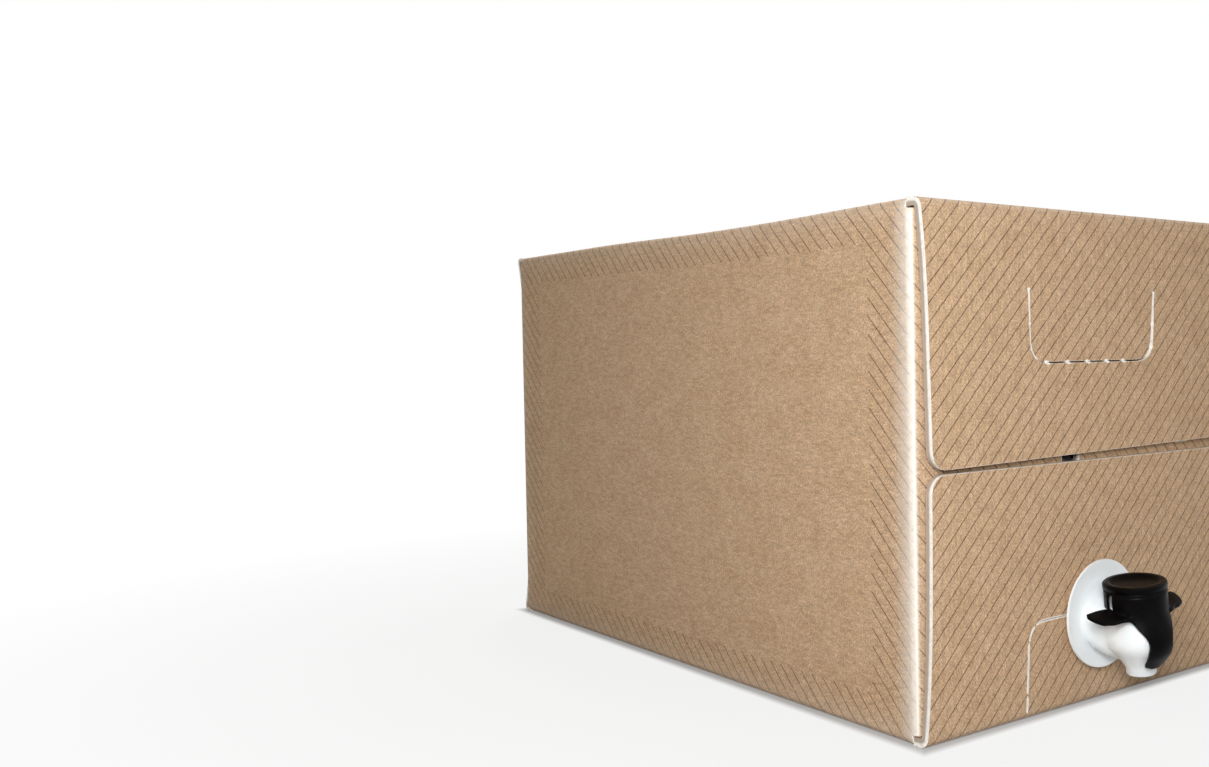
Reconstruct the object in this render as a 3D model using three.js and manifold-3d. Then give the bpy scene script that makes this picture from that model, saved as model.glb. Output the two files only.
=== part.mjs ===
// A bag in box carton lying on its long side in the pouring position.
// Millimetres, +Z up. The origin is the middle of the face it rests on, the tap end faces -Y.
import * as THREE from 'three';
import { mergeVertices } from 'three/addons/utils/BufferGeometryUtils.js';
import Module from 'manifold-3d';

const wasm = await Module();
wasm.setup();

// Driving dimensions

// Corrugated board and the folded sleeve
const BOARD = 3;                  // wall of the corrugated board
const CARTON_WIDTH = 186;         // across the tap end
const CARTON_HEIGHT = 190;        // resting face to top face
const SIDE_LENGTH = 310;          // side panels, fold to fold
const GLUE_GAP = 0.5;             // thickness of a hot-melt ribbon, held between two boards
const GLUE_FLAP = 32;             // strip that closes the sleeve inside the right side panel
const GLUE_FLAP_SHY = 5;          // the strip stops short of the sleeve's ends
const RIBBON_WIDTH = 8;
const RIBBON_START = 15;          // hot melt keeps this clear of the top and bottom faces
const RIBBON_PLACE = 60;          // from the middle of the end
const CORNER_SLOT = 0.7;          // clearance of an inner flap under the top and bottom panels

const FOLD_LAP = 0.2;
const FOLD_STEPS = 6;

// End flaps
const SEAM_GAP = 2;               // slot between the two outer flaps
const FLAP_SHY = 0.8;             // outer flap, set in at its fold
const FLAP_TAPER = 3.8;           // and further in at its free edge
const FLAP_CORNER = 7;            // radius of the free corners
const LEFT_INNER_FLAP = 77;       // from the left side panel
const INNER_FLAP_GAP = 10;        // opening left between the two inner flaps

// Perforated handle tab in the upper outer flap
const HANDLE_WIDTH = 75;
const HANDLE_DEPTH = 27;
const HANDLE_DROP = 31;           // from the top face to the tab's fold
const HANDLE_CORNER = 9;
const HANDLE_LEAN = 1.2;          // each side closes in by this at the tab's foot

// Perforated tap door in the lower outer flap
const DOOR_WIDTH = 82;
const DOOR_FOOT = 4.5;            // the cuts start this far above the resting face
const DOOR_CORNER = 10;
const DOOR_LEAN = 1.6;
const DOOR_RISE = 1.4;            // the door's upper cut, above the tap's axis
const NOTCH_SHY = 3;              // the inner flaps' notch is narrower than the door, each side
const HAND_HOLE_GROWTH = 1.5;     // hand hole in the inner flaps, larger than the tab each side
const SLIT = 0.7;                 // width of the perforating knife
const NICK = 1.6;                 // uncut bridge between two cuts
const HANDLE_CUT = 19;            // length of one cut
const DOOR_CUT = 24;

// Bag and spout gland
const BAG_PLAY = 1.2;             // between the filled bag and the side panels
const BAG_HEADROOM = 6;           // over the bag
const BAG_END_PLAY = 1.5;         // at the end away from the tap
const BAG_CORNER = 24;
const BAG_END_INSET = 11;         // the filled ends round off by this
const BAG_WAIST = 0.012;          // slack of the film between the ends
const BAG_SINK = 0.25;            // the ends hang this share of their inset low
const BAG_STEPS = 6;              // facets of one corner
const GLAND_BORE = 11.3;          // radii of the gland
const GLAND_TUBE = 15;
const GLAND_GRIP = 19;            // ring behind the outer flap
const GLAND_BASE = 24;            // flange welded to the bag
const GLAND_BASE_THICKNESS = 1.4;
const GRIP_THICKNESS = 1.2;
const HOLE_CLEARANCE = 0.6;       // hole in the board round the gland tube

// Tap
const TAP_HEIGHT = 34.2;          // neck axis above the resting face
const TAP_LEAN = 6;               // degrees that the tap stands turned in its gland
const BARREL_REACH = 19;          // barrel axis in front of the outer flap
const SPIGOT_CLEARANCE = 0.3;
const SPIGOT_LENGTH = 8;
const SPIGOT_BORE = 8.6;
const FLANGE_RADIUS = 21;
const FLANGE_WALL = 1.3;
const FLANGE_STAND = 0.4;         // back of the flange in front of the board
const FLANGE_DISH = 1.4;          // the rim stands this much further out than the root
const NECK_ROOT = 13.3;           // radius where the neck leaves the flange
const NECK_WALL = 1.8;
const BARREL_RADIUS = 9.6;
const BARREL_BORE = 8.2;
const BARREL_TOP = 11.2;          // heights from the neck axis
const BARREL_BEAD = 0.5;          // lip round the barrel's top
const BELLY_RADIUS = 12.5;
const BELLY_HEIGHT = -7;
const SEAT_HEIGHT = -11;          // valve seat, the floor of the chamber
const SPOUT_RADIUS = 5.7;
const SPOUT_BORE = 4.3;
const SPOUT_END = -20.6;
const PORT_RADIUS = 3.4;          // from the neck into the chamber
const PORT_HEIGHT = -5.4;

// Lever
const LEVER_TURN_AT_REST = 15;    // degrees, tongue turned to the left of the spout
const LEVER_TRAVEL = 45;          // degrees from closed to open
const LEVER_PLAY = 0.5;           // running clearance round the barrel and belly
const LEVER_WALL = 1.4;
const CAP_TOP = 15.2;
const CAP_SKIRT = 3.6;            // height of the cap's full ring
const CAP_PLATE = 2.2;            // underside of the cap below its rim
const CAP_RECESS = 0.9;
const CAP_RECESS_RADIUS = 8.6;
const SKIRT_SPREAD = 83;          // degrees each side of the tongue
const SKIRT_FOOT = 2.8;           // height where the skirt turns into the tongue
const TONGUE_TIP = -16.8;
const TONGUE_WAIST = 4.7;         // half width of the tongue
const CATCH_FROM = 102;           // degrees, the two thin catches behind the skirt
const CATCH_TO = 127;
const CATCH_FOOT = 5.8;
const WING_TIP = 22.6;            // from the barrel axis
const WING_CHORD = 9.2;
const WING_BACK_HEIGHT = 6.3;     // top of the wing at its back edge
const WING_FALL = 0.24;           // slope down towards the front
const WING_WALL = 1.7;
const WING_CROWN = 0.4;

// Valve inside the barrel
const VALVE_LIFT = 3;             // travel of the stem over the lever's travel
const STEM_RADIUS = 2.6;
const STEM_TOP = 7.6;
const LUG_SIZE = 2;               // square section of the two lugs
const LUG_REACH = 8.9;
const LUG_HEIGHT = 4;
const GROOVE_CLEARANCE = 0.3;
const BOSS_RADIUS = 5.9;          // sleeve inside the cap with the two spiral slots
const BOSS_FOOT = 1.9;
const PLUG_RADIUS = 6;
const PLUG_THICKNESS = 2.6;
const PLUG_POCKET = 1.6;
const SEAL_THICKNESS = 1.6;
const FIT = 0.3;                  // clearance between pieces that touch

// Smoothness
const ROUND = 36;
const SMALL_ROUND = 24;

// Worked-out sizes
const halfWidth = CARTON_WIDTH / 2;
const midHeight = CARTON_HEIGHT / 2;
const halfSide = SIDE_LENGTH / 2;
const outerFace = halfSide + GLUE_GAP + BOARD;       // outer flaps' outer face, from the middle
const sleeveEnd = halfSide - BOARD;                  // where the four panels stop and the folds begin
const flapLength = midHeight - SEAM_GAP / 2;
const glueFlapFace = halfWidth - BOARD - GLUE_GAP;
const glandBack = GLAND_BASE_THICKNESS + SPIGOT_LENGTH + FIT;
const skirtBore = BARREL_RADIUS + BARREL_BEAD + LEVER_PLAY;
const plugTop = SEAT_HEIGHT + FIT + PLUG_THICKNESS;
const rad = THREE.MathUtils.degToRad;

const cardboard = () => new THREE.MeshStandardMaterial({ color: 0xb08e6a, roughness: 0.9, metalness: 0 });
const whitePlastic = () => new THREE.MeshStandardMaterial({ color: 0xe4e8ea, roughness: 0.4, metalness: 0 });
const blackPlastic = () => new THREE.MeshStandardMaterial({ color: 0x0e0e10, roughness: 0.35, metalness: 0 });
const film = () => new THREE.MeshStandardMaterial({ color: 0xb9bec2, roughness: 0.3, metalness: 0.3 });
const softSeal = () => new THREE.MeshStandardMaterial({ color: 0x8f9498, roughness: 0.7, metalness: 0 });
const hotMelt = () => new THREE.MeshStandardMaterial({ color: 0xe6dcc0, roughness: 0.5, metalness: 0 });

// Solid helpers

function solidOf(geometry) {
  const bare = geometry.clone();
  bare.deleteAttribute('normal');
  bare.deleteAttribute('uv');
  const merged = mergeVertices(bare, 1e-4);
  const index = merged.index.array;
  const triangles = [];
  for (let i = 0; i < index.length; i += 3) {
    const [a, b, c] = [index[i], index[i + 1], index[i + 2]];
    if (a !== b && b !== c && c !== a) triangles.push(a, b, c);
  }
  return new wasm.Manifold(new wasm.Mesh({
    numProp: 3,
    vertProperties: new Float32Array(merged.attributes.position.array),
    triVerts: new Uint32Array(triangles),
  }));
}

function geometryOf(solid) {
  const mesh = solid.getMesh();
  const geometry = new THREE.BufferGeometry();
  geometry.setAttribute('position', new THREE.BufferAttribute(Float32Array.from(mesh.vertProperties), 3));
  geometry.setIndex(new THREE.BufferAttribute(Uint32Array.from(mesh.triVerts), 1));
  geometry.computeVertexNormals();
  return geometry;
}

const joined = (geometries) => geometries.map(solidOf).reduce((sum, solid) => sum.add(solid));
const cutBy = (solid, geometries) => geometries.map(solidOf).reduce((rest, cutter) => rest.subtract(cutter), solid);

function meshOf(name, solid, material) {
  const mesh = new THREE.Mesh(geometryOf(solid), material);
  mesh.name = name;
  return mesh;
}

// Walls cut from a flat shape, named after the direction of their thickness
function wall(shape, low, high, basis, curveSegments) {
  const geometry = new THREE.ExtrudeGeometry(shape, {
    depth: high - low, bevelEnabled: false, curveSegments,
  });
  geometry.translate(0, 0, low);
  return geometry.applyMatrix4(new THREE.Matrix4().makeBasis(...basis));
}
const AXIS_X = new THREE.Vector3(1, 0, 0);
const AXIS_Y = new THREE.Vector3(0, 1, 0);
const AXIS_Z = new THREE.Vector3(0, 0, 1);
const wallAlongX = (shape, low, high, segments = 8) => wall(shape, low, high, [AXIS_Y, AXIS_Z, AXIS_X], segments);
const wallAlongY = (shape, low, high, segments = 8) =>
  wall(shape, -high, -low, [AXIS_X, AXIS_Z, AXIS_Y.clone().negate()], segments);
const wallAlongZ = (shape, low, high, segments = 8) => wall(shape, low, high, [AXIS_X, AXIS_Y, AXIS_Z], segments);

function block(xLow, xHigh, yLow, yHigh, zLow, zHigh) {
  return new THREE.BoxGeometry(xHigh - xLow, yHigh - yLow, zHigh - zLow)
    .translate((xLow + xHigh) / 2, (yLow + yHigh) / 2, (zLow + zHigh) / 2);
}

// Turned forms: profiles are [radius, distance] pairs, counter-clockwise
const turned = (profile, segments) =>
  new THREE.LatheGeometry(profile.map(([r, d]) => new THREE.Vector2(r, d)), segments);
const turnedUpright = (profile, segments = ROUND) => turned(profile, segments).rotateX(Math.PI / 2);
const turnedOutwards = (profile, segments = ROUND) => turned(profile, segments).rotateX(Math.PI);

// A closed form through rings of points; the rings follow each other towards -Y
function lofted(rings) {
  const points = [];
  const count = rings[0].length;
  for (const ring of rings) for (const p of ring) points.push(p.x, p.y, p.z);
  const middle = (ring) => ring.reduce((sum, p) => sum.add(p), new THREE.Vector3()).divideScalar(count);
  for (const ring of [rings[0], rings[rings.length - 1]]) points.push(...middle(ring).toArray());
  const firstMiddle = rings.length * count;
  const faces = [];
  for (let k = 0; k < rings.length - 1; k += 1) {
    for (let i = 0; i < count; i += 1) {
      const next = (i + 1) % count;
      const [a, b, c, d] = [k * count + i, k * count + next, (k + 1) * count + next, (k + 1) * count + i];
      faces.push(a, b, c, a, c, d);
    }
  }
  const lastRing = (rings.length - 1) * count;
  for (let i = 0; i < count; i += 1) {
    const next = (i + 1) % count;
    faces.push(firstMiddle, next, i, firstMiddle + 1, lastRing + i, lastRing + next);
  }
  const geometry = new THREE.BufferGeometry();
  geometry.setAttribute('position', new THREE.Float32BufferAttribute(points, 3));
  geometry.setIndex(faces);
  return geometry;
}

// A closed skin between two surfaces of the same two parameters, front seen from outside
function closedSkin(front, back, columns, rows) {
  const points = [];
  for (const surface of [front, back]) {
    for (let j = 0; j <= rows; j += 1) {
      for (let i = 0; i <= columns; i += 1) points.push(...surface(i / columns, j / rows).toArray());
    }
  }
  const stride = columns + 1;
  const behind = stride * (rows + 1);
  const at = (i, j) => j * stride + i;
  const faces = [];
  const quad = (a, b, c, d) => faces.push(a, b, c, a, c, d);
  for (let j = 0; j < rows; j += 1) {
    for (let i = 0; i < columns; i += 1) {
      quad(at(i, j), at(i + 1, j), at(i + 1, j + 1), at(i, j + 1));
      quad(behind + at(i, j), behind + at(i, j + 1), behind + at(i + 1, j + 1), behind + at(i + 1, j));
    }
  }
  for (let i = 0; i < columns; i += 1) {
    quad(at(i + 1, 0), at(i, 0), behind + at(i, 0), behind + at(i + 1, 0));
    quad(at(i, rows), at(i + 1, rows), behind + at(i + 1, rows), behind + at(i, rows));
  }
  for (let j = 0; j < rows; j += 1) {
    quad(at(0, j), at(0, j + 1), behind + at(0, j + 1), behind + at(0, j));
    quad(at(columns, j + 1), at(columns, j), behind + at(columns, j), behind + at(columns, j + 1));
  }
  const geometry = new THREE.BufferGeometry();
  geometry.setAttribute('position', new THREE.Float32BufferAttribute(points, 3));
  geometry.setIndex(faces);
  return geometry;
}

// A value read off a list of [position, value] stations along a smooth curve
function smoothly(stations) {
  return (position) => {
    const last = stations.length - 1;
    if (position <= stations[0][0]) return stations[0][1];
    if (position >= stations[last][0]) return stations[last][1];
    const i = stations.findIndex(([p]) => p > position) - 1;
    const [p0, v0] = stations[i];
    const [p1, v1] = stations[i + 1];
    const slope = (k) => {
      const a = stations[Math.max(k - 1, 0)];
      const b = stations[Math.min(k + 1, last)];
      return (b[1] - a[1]) / (b[0] - a[0]);
    };
    const t = (position - p0) / (p1 - p0);
    const span = p1 - p0;
    return (2 * t ** 3 - 3 * t ** 2 + 1) * v0 + (t ** 3 - 2 * t ** 2 + t) * span * slope(i)
      + (3 * t ** 2 - 2 * t ** 3) * v1 + (t ** 3 - t ** 2) * span * slope(i + 1);
  };
}

// Carton: one blank of corrugated board

// A quarter-round fold drawn in a flat section, centred on the inside of the fold; it reaches
// a little into the straight board on both sides, so that the blank stays one piece
function quarterFold(u, v, startAngle) {
  const start = new THREE.Vector2(Math.cos(startAngle), Math.sin(startAngle));
  const end = new THREE.Vector2(-start.y, start.x);
  const from = (alongStart, alongEnd) =>
    new THREE.Vector2(u, v).addScaledVector(start, alongStart).addScaledVector(end, alongEnd);
  const outline = [from(-FOLD_LAP, -FOLD_LAP), from(BOARD, -FOLD_LAP)];
  for (let k = 0; k <= FOLD_STEPS; k += 1) {
    const angle = (k / FOLD_STEPS) * (Math.PI / 2);
    outline.push(from(BOARD * Math.cos(angle), BOARD * Math.sin(angle)));
  }
  outline.push(from(-FOLD_LAP, BOARD));
  return new THREE.Shape(outline);
}

// The four panels in one strip: bottom, left side, top and right side
function sleeveSection() {
  const x = halfWidth;
  const top = CARTON_HEIGHT;
  const shape = new THREE.Shape();
  shape.moveTo(glueFlapFace - BOARD, 0);
  shape.lineTo(-x + BOARD, 0);
  shape.absarc(-x + BOARD, BOARD, BOARD, -Math.PI / 2, -Math.PI, true);
  shape.lineTo(-x, top - BOARD);
  shape.absarc(-x + BOARD, top - BOARD, BOARD, Math.PI, Math.PI / 2, true);
  shape.lineTo(x - BOARD, top);
  shape.absarc(x - BOARD, top - BOARD, BOARD, Math.PI / 2, 0, true);
  shape.lineTo(x, BOARD / 3);
  shape.lineTo(x - BOARD, BOARD / 3);
  shape.lineTo(x - BOARD, top - BOARD);
  shape.lineTo(-x + BOARD, top - BOARD);
  shape.lineTo(-x + BOARD, BOARD);
  shape.lineTo(glueFlapFace - BOARD, BOARD);
  return shape;
}

// The strip folded up from the bottom panel that closes the sleeve from inside
function glueFlapSection() {
  const shape = new THREE.Shape();
  shape.moveTo(glueFlapFace - BOARD - FIT, BOARD);
  shape.lineTo(glueFlapFace - BOARD - FIT, 0);
  shape.lineTo(glueFlapFace - BOARD, 0);
  shape.absarc(glueFlapFace - BOARD, BOARD, BOARD, -Math.PI / 2, 0, false);
  shape.lineTo(glueFlapFace, GLUE_FLAP);
  shape.lineTo(glueFlapFace - BOARD, GLUE_FLAP);
  shape.lineTo(glueFlapFace - BOARD, BOARD);
  return shape;
}

// An outer flap's outline; reach is measured from the face of the panel that carries it
function outerFlapShape(fromTop) {
  const height = (reach) => (fromTop ? CARTON_HEIGHT - reach : reach);
  const fold = halfWidth - FLAP_SHY;
  const knee = fold - FLAP_TAPER * 0.6;
  const free = fold - FLAP_TAPER;
  const right = [[fold, BOARD], [knee, flapLength * 0.35], [free, flapLength - FLAP_CORNER]];
  const corner = [];
  for (let k = 1; k <= 6; k += 1) {
    const angle = (k / 6) * (Math.PI / 2);
    corner.push([free - FLAP_CORNER * (1 - Math.cos(angle)), flapLength - FLAP_CORNER * (1 - Math.sin(angle))]);
  }
  const half = [...right, ...corner];
  const outline = [...half, ...half.map(([x, reach]) => [-x, reach]).reverse()];
  return new THREE.Shape(outline.map(([x, reach]) => new THREE.Vector2(x, height(reach))));
}

// Cut line of the handle tab, as a path in x and height; grow makes the clear hole behind it
function handlePath(grow = 0) {
  const top = CARTON_HEIGHT - HANDLE_DROP + grow;
  const low = CARTON_HEIGHT - HANDLE_DROP - HANDLE_DEPTH - grow;
  const half = HANDLE_WIDTH / 2 + grow;
  const foot = half - HANDLE_LEAN;
  const path = new THREE.Path();
  path.moveTo(-half, top);
  path.lineTo(-foot, low + HANDLE_CORNER);
  path.quadraticCurveTo(-foot, low, -foot + HANDLE_CORNER, low);
  path.lineTo(foot - HANDLE_CORNER, low);
  path.quadraticCurveTo(foot, low, foot, low + HANDLE_CORNER);
  path.lineTo(half, top);
  return path;
}

// Cut line of one side of the tap door, from the resting face up and in to the tap's hole
function doorPath(side) {
  const half = DOOR_WIDTH / 2;
  const shoulder = half - DOOR_LEAN;
  const top = TAP_HEIGHT + DOOR_RISE;
  const path = new THREE.Path();
  path.moveTo(side * half, DOOR_FOOT);
  path.lineTo(side * shoulder, top - DOOR_CORNER);
  path.quadraticCurveTo(side * shoulder, top, side * (shoulder - DOOR_CORNER), top);
  path.lineTo(side * GLAND_TUBE, top);
  return path;
}

// Knife cuts along a path, each a narrow ribbon, with uncut nicks between them
function knifeCuts(path, cutLength, yLow, yHigh) {
  const length = path.getLength();
  const count = Math.max(1, Math.round(length / (cutLength + NICK)));
  const pitch = length / count;
  const steps = 8;
  const cuts = [];
  for (let n = 0; n < count; n += 1) {
    const from = n * pitch + NICK / 2;
    const to = (n + 1) * pitch - NICK / 2;
    const left = [];
    const right = [];
    for (let k = 0; k <= steps; k += 1) {
      const at = (from + (to - from) * (k / steps)) / length;
      const point = path.getPointAt(at);
      const along = path.getTangentAt(at);
      const across = new THREE.Vector2(-along.y, along.x).multiplyScalar(SLIT / 2);
      left.push(point.clone().add(across));
      right.unshift(point.clone().sub(across));
    }
    cuts.push(wallAlongY(new THREE.Shape([...left, ...right]), yLow, yHigh));
  }
  return cuts;
}

// The flaps and folds of the -Y end
function endFlaps() {
  const innerLow = BOARD + CORNER_SLOT;
  const innerHigh = CARTON_HEIGHT - innerLow;
  const leftEnd = -halfWidth + LEFT_INNER_FLAP;
  const foldHalf = halfWidth - FLAP_SHY;
  const outerFold = -outerFace + BOARD;
  return [
    // inner flaps, folded from the side panels
    block(-halfWidth + BOARD, leftEnd, -halfSide, -sleeveEnd, innerLow, innerHigh),
    block(leftEnd + INNER_FLAP_GAP, halfWidth - BOARD, -halfSide, -sleeveEnd, innerLow, innerHigh),
    wallAlongZ(quarterFold(-halfWidth + BOARD, -sleeveEnd, Math.PI), innerLow, innerHigh),
    wallAlongZ(quarterFold(halfWidth - BOARD, -sleeveEnd, 1.5 * Math.PI), innerLow, innerHigh),
    // outer flaps, folded from the top and bottom panels
    block(-foldHalf, foldHalf, outerFold, -sleeveEnd + FIT, CARTON_HEIGHT - BOARD, CARTON_HEIGHT),
    block(-foldHalf, foldHalf, outerFold, -sleeveEnd + FIT, 0, BOARD),
    wallAlongX(quarterFold(outerFold, CARTON_HEIGHT - BOARD, Math.PI / 2), -foldHalf, foldHalf),
    wallAlongX(quarterFold(outerFold, BOARD, Math.PI), -foldHalf, foldHalf),
    wallAlongY(outerFlapShape(true), -outerFace, outerFold),
    wallAlongY(outerFlapShape(false), -outerFace, outerFold),
  ];
}

// Openings in the tap end: tap hole, door and handle perforations, and the clear holes behind them
function tapEndCuts() {
  const inFlap = [-outerFace - 1, -outerFace + BOARD + GLUE_GAP / 2];
  const behind = [-outerFace + BOARD + GLUE_GAP / 2, -sleeveEnd + 1];
  const hole = new THREE.Shape();
  hole.absarc(0, TAP_HEIGHT, GLAND_TUBE + HOLE_CLEARANCE, 0, 2 * Math.PI);
  const half = DOOR_WIDTH / 2 - NOTCH_SHY;
  const notchTop = TAP_HEIGHT + GLAND_BASE;
  const notch = new THREE.Shape();
  notch.moveTo(-half, 0);
  notch.lineTo(half, 0);
  notch.lineTo(half, notchTop - DOOR_CORNER);
  notch.absarc(half - DOOR_CORNER, notchTop - DOOR_CORNER, DOOR_CORNER, 0, Math.PI / 2, false);
  notch.absarc(-half + DOOR_CORNER, notchTop - DOOR_CORNER, DOOR_CORNER, Math.PI / 2, Math.PI, false);
  const handHole = new THREE.Shape(handlePath(HAND_HOLE_GROWTH).getPoints(6));
  const notchCut = wallAlongY(notch, ...behind).translate(0, 0, BOARD + CORNER_SLOT / 2);
  return [
    wallAlongY(hole, ...inFlap, 24),
    ...knifeCuts(handlePath(), HANDLE_CUT, ...inFlap),
    ...knifeCuts(doorPath(-1), DOOR_CUT, ...inFlap),
    ...knifeCuts(doorPath(1), DOOR_CUT, ...inFlap),
    notchCut,
    wallAlongY(handHole, ...behind),
  ];
}

function carton() {
  const sleeve = wallAlongY(sleeveSection(), -sleeveEnd, sleeveEnd);
  const glueFlap = wallAlongY(glueFlapSection(), -sleeveEnd + GLUE_FLAP_SHY, sleeveEnd - GLUE_FLAP_SHY);
  const backFlaps = endFlaps().map((piece) => piece.rotateZ(Math.PI));
  const folded = joined([sleeve, glueFlap, ...endFlaps(), ...backFlaps]);
  return meshOf('carton', cutBy(folded, tapEndCuts()), cardboard());
}

// Hot-melt ribbons that hold the outer flaps on the inner flaps, and the sleeve's seam
function hotMeltRibbons() {
  const ribbons = [];
  for (const [end, side] of [['tap_end', -1], ['back_end', 1]]) {
    const faces = [side * halfSide, side * (halfSide + GLUE_GAP)].sort((a, b) => a - b);
    for (const [level, low] of [['lower', RIBBON_START], ['upper', midHeight + SEAM_GAP]]) {
      for (const [hand, x] of [['left', -RIBBON_PLACE], ['right', RIBBON_PLACE]]) {
        const high = low + midHeight - RIBBON_START - SEAM_GAP;
        const strip = block(x - RIBBON_WIDTH / 2, x + RIBBON_WIDTH / 2, ...faces, low, high);
        ribbons.push(meshOf(`hot_melt_${end}_${level}_${hand}`, solidOf(strip), hotMelt()));
      }
    }
  }
  const seamHalf = sleeveEnd - GLUE_FLAP_SHY - RIBBON_WIDTH;
  const seam = block(glueFlapFace, glueFlapFace + GLUE_GAP, -seamHalf, seamHalf, 2 * BOARD, 2 * BOARD + RIBBON_WIDTH);
  ribbons.push(meshOf('hot_melt_sleeve_seam', solidOf(seam), hotMelt()));
  return ribbons;
}

// Bag: a filled pillow of film that takes the carton's inside form, flat where the gland is welded on
function bag() {
  const halfSpan = halfWidth - BOARD - BAG_PLAY - (GLUE_GAP + BOARD);
  const low = BOARD + FIT;
  const high = CARTON_HEIGHT - BOARD - BAG_HEADROOM;
  const yFront = -outerFace + glandBack + FIT;
  const yBack = sleeveEnd - BAG_END_PLAY;
  const centre = (low + high) / 2;
  const halfRise = (high - low) / 2;
  const inset = smoothly([[0, BAG_END_INSET], [0.02, BAG_END_INSET * 0.45], [0.06, BAG_END_INSET * 0.1], [0.12, 0]]);
  const ring = (t) => {
    const draw = Math.max(inset(t), inset(1 - t));
    const belly = 1 - BAG_WAIST * Math.sin(Math.PI * t) ** 2;
    const [a, b] = [(halfSpan - draw) * belly, halfRise - draw];
    const radius = BAG_CORNER + draw;
    const sinks = draw > 0 ? draw * BAG_SINK : 0;
    const points = [];
    for (const [quadrant, sx, sz] of [[0, 1, 1], [1, -1, 1], [2, -1, -1], [3, 1, -1]]) {
      for (let k = 0; k <= BAG_STEPS; k += 1) {
        const angle = (quadrant + k / BAG_STEPS) * (Math.PI / 2);
        points.push(new THREE.Vector3(
          sx * (a - radius) + radius * Math.cos(angle),
          yFront + (yBack - yFront) * t,
          centre - sinks + sz * (b - radius) + radius * Math.sin(angle),
        ));
      }
    }
    return points;
  };
  const stations = [1, 0.98, 0.95, 0.91, 0.86, 0.7, 0.5, 0.3, 0.14, 0.09, 0.05, 0.02, 0];
  return meshOf('bag', solidOf(lofted(stations.map(ring))), film());
}

// Spout gland: a ringed socket welded to the bag, gripping the edge of the tap hole
function gland() {
  const base = -glandBack;
  const baseTop = base + GLAND_BASE_THICKNESS;
  const gripTop = -BOARD - FIT;
  const profile = [
    [GLAND_BORE, base], [GLAND_BASE, base], [GLAND_BASE, baseTop], [GLAND_TUBE, baseTop],
    [GLAND_TUBE, gripTop - GRIP_THICKNESS], [GLAND_GRIP, gripTop - GRIP_THICKNESS],
    [GLAND_GRIP, gripTop], [GLAND_TUBE, gripTop], [GLAND_TUBE, -FIT], [GLAND_BORE + 0.6, -FIT],
    [GLAND_BORE, -FIT - 0.6], [GLAND_BORE, base],
  ];
  const mesh = meshOf('gland', solidOf(turnedOutwards(profile)), whitePlastic());
  mesh.position.set(0, -outerFace, TAP_HEIGHT);
  return mesh;
}

// Tap body, in the tap's own frame: neck axis along -Y, barrel upright at BARREL_REACH

// Outside radius of barrel, belly and spout at a height from the neck axis
const bodyRadius = smoothly([
  [SPOUT_END, SPOUT_RADIUS], [SPOUT_END + 2.6, SPOUT_RADIUS - 0.1], [-16.6, SPOUT_RADIUS + 0.9],
  [-13.6, BELLY_RADIUS - 4], [-10.2, BELLY_RADIUS - 1.2], [BELLY_HEIGHT, BELLY_RADIUS],
  [-3.6, BELLY_RADIUS - 0.6], [0.2, BARREL_RADIUS + 0.9], [2.4, BARREL_RADIUS], [BARREL_TOP, BARREL_RADIUS],
]);

// The neck's sections change from the round root to the belly: [distance out, top, bottom, half width]
const neckStations = [
  [1.2, NECK_ROOT, -NECK_ROOT, NECK_ROOT], [4, 9, -14.6, 12.2], [7.6, 5.1, -15.8, 10.9],
  [12.8, 4.4, -16.9, 9], [BARREL_REACH, 3.6, -17.2, 6.4],
];
const neckTop = smoothly(neckStations.map(([out, top]) => [out, top]));
const neckBottom = smoothly(neckStations.map(([out, , bottom]) => [out, bottom]));
const neckHalf = smoothly(neckStations.map(([out, , , half]) => [out, half]));

function neckForm(from, to, inset) {
  const rings = [];
  const steps = 10;
  for (let k = 0; k <= steps; k += 1) {
    const out = from + (to - from) * (k / steps);
    const [top, bottom] = [neckTop(out) - inset, neckBottom(out) + inset];
    const ring = [];
    for (let i = 0; i < ROUND; i += 1) {
      const angle = (i / ROUND) * 2 * Math.PI;
      const z = (top + bottom) / 2 + ((top - bottom) / 2) * Math.sin(angle);
      ring.push(new THREE.Vector3((neckHalf(out) - inset) * Math.cos(angle), -out, z));
    }
    rings.push(ring);
  }
  return lofted(rings);
}

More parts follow.
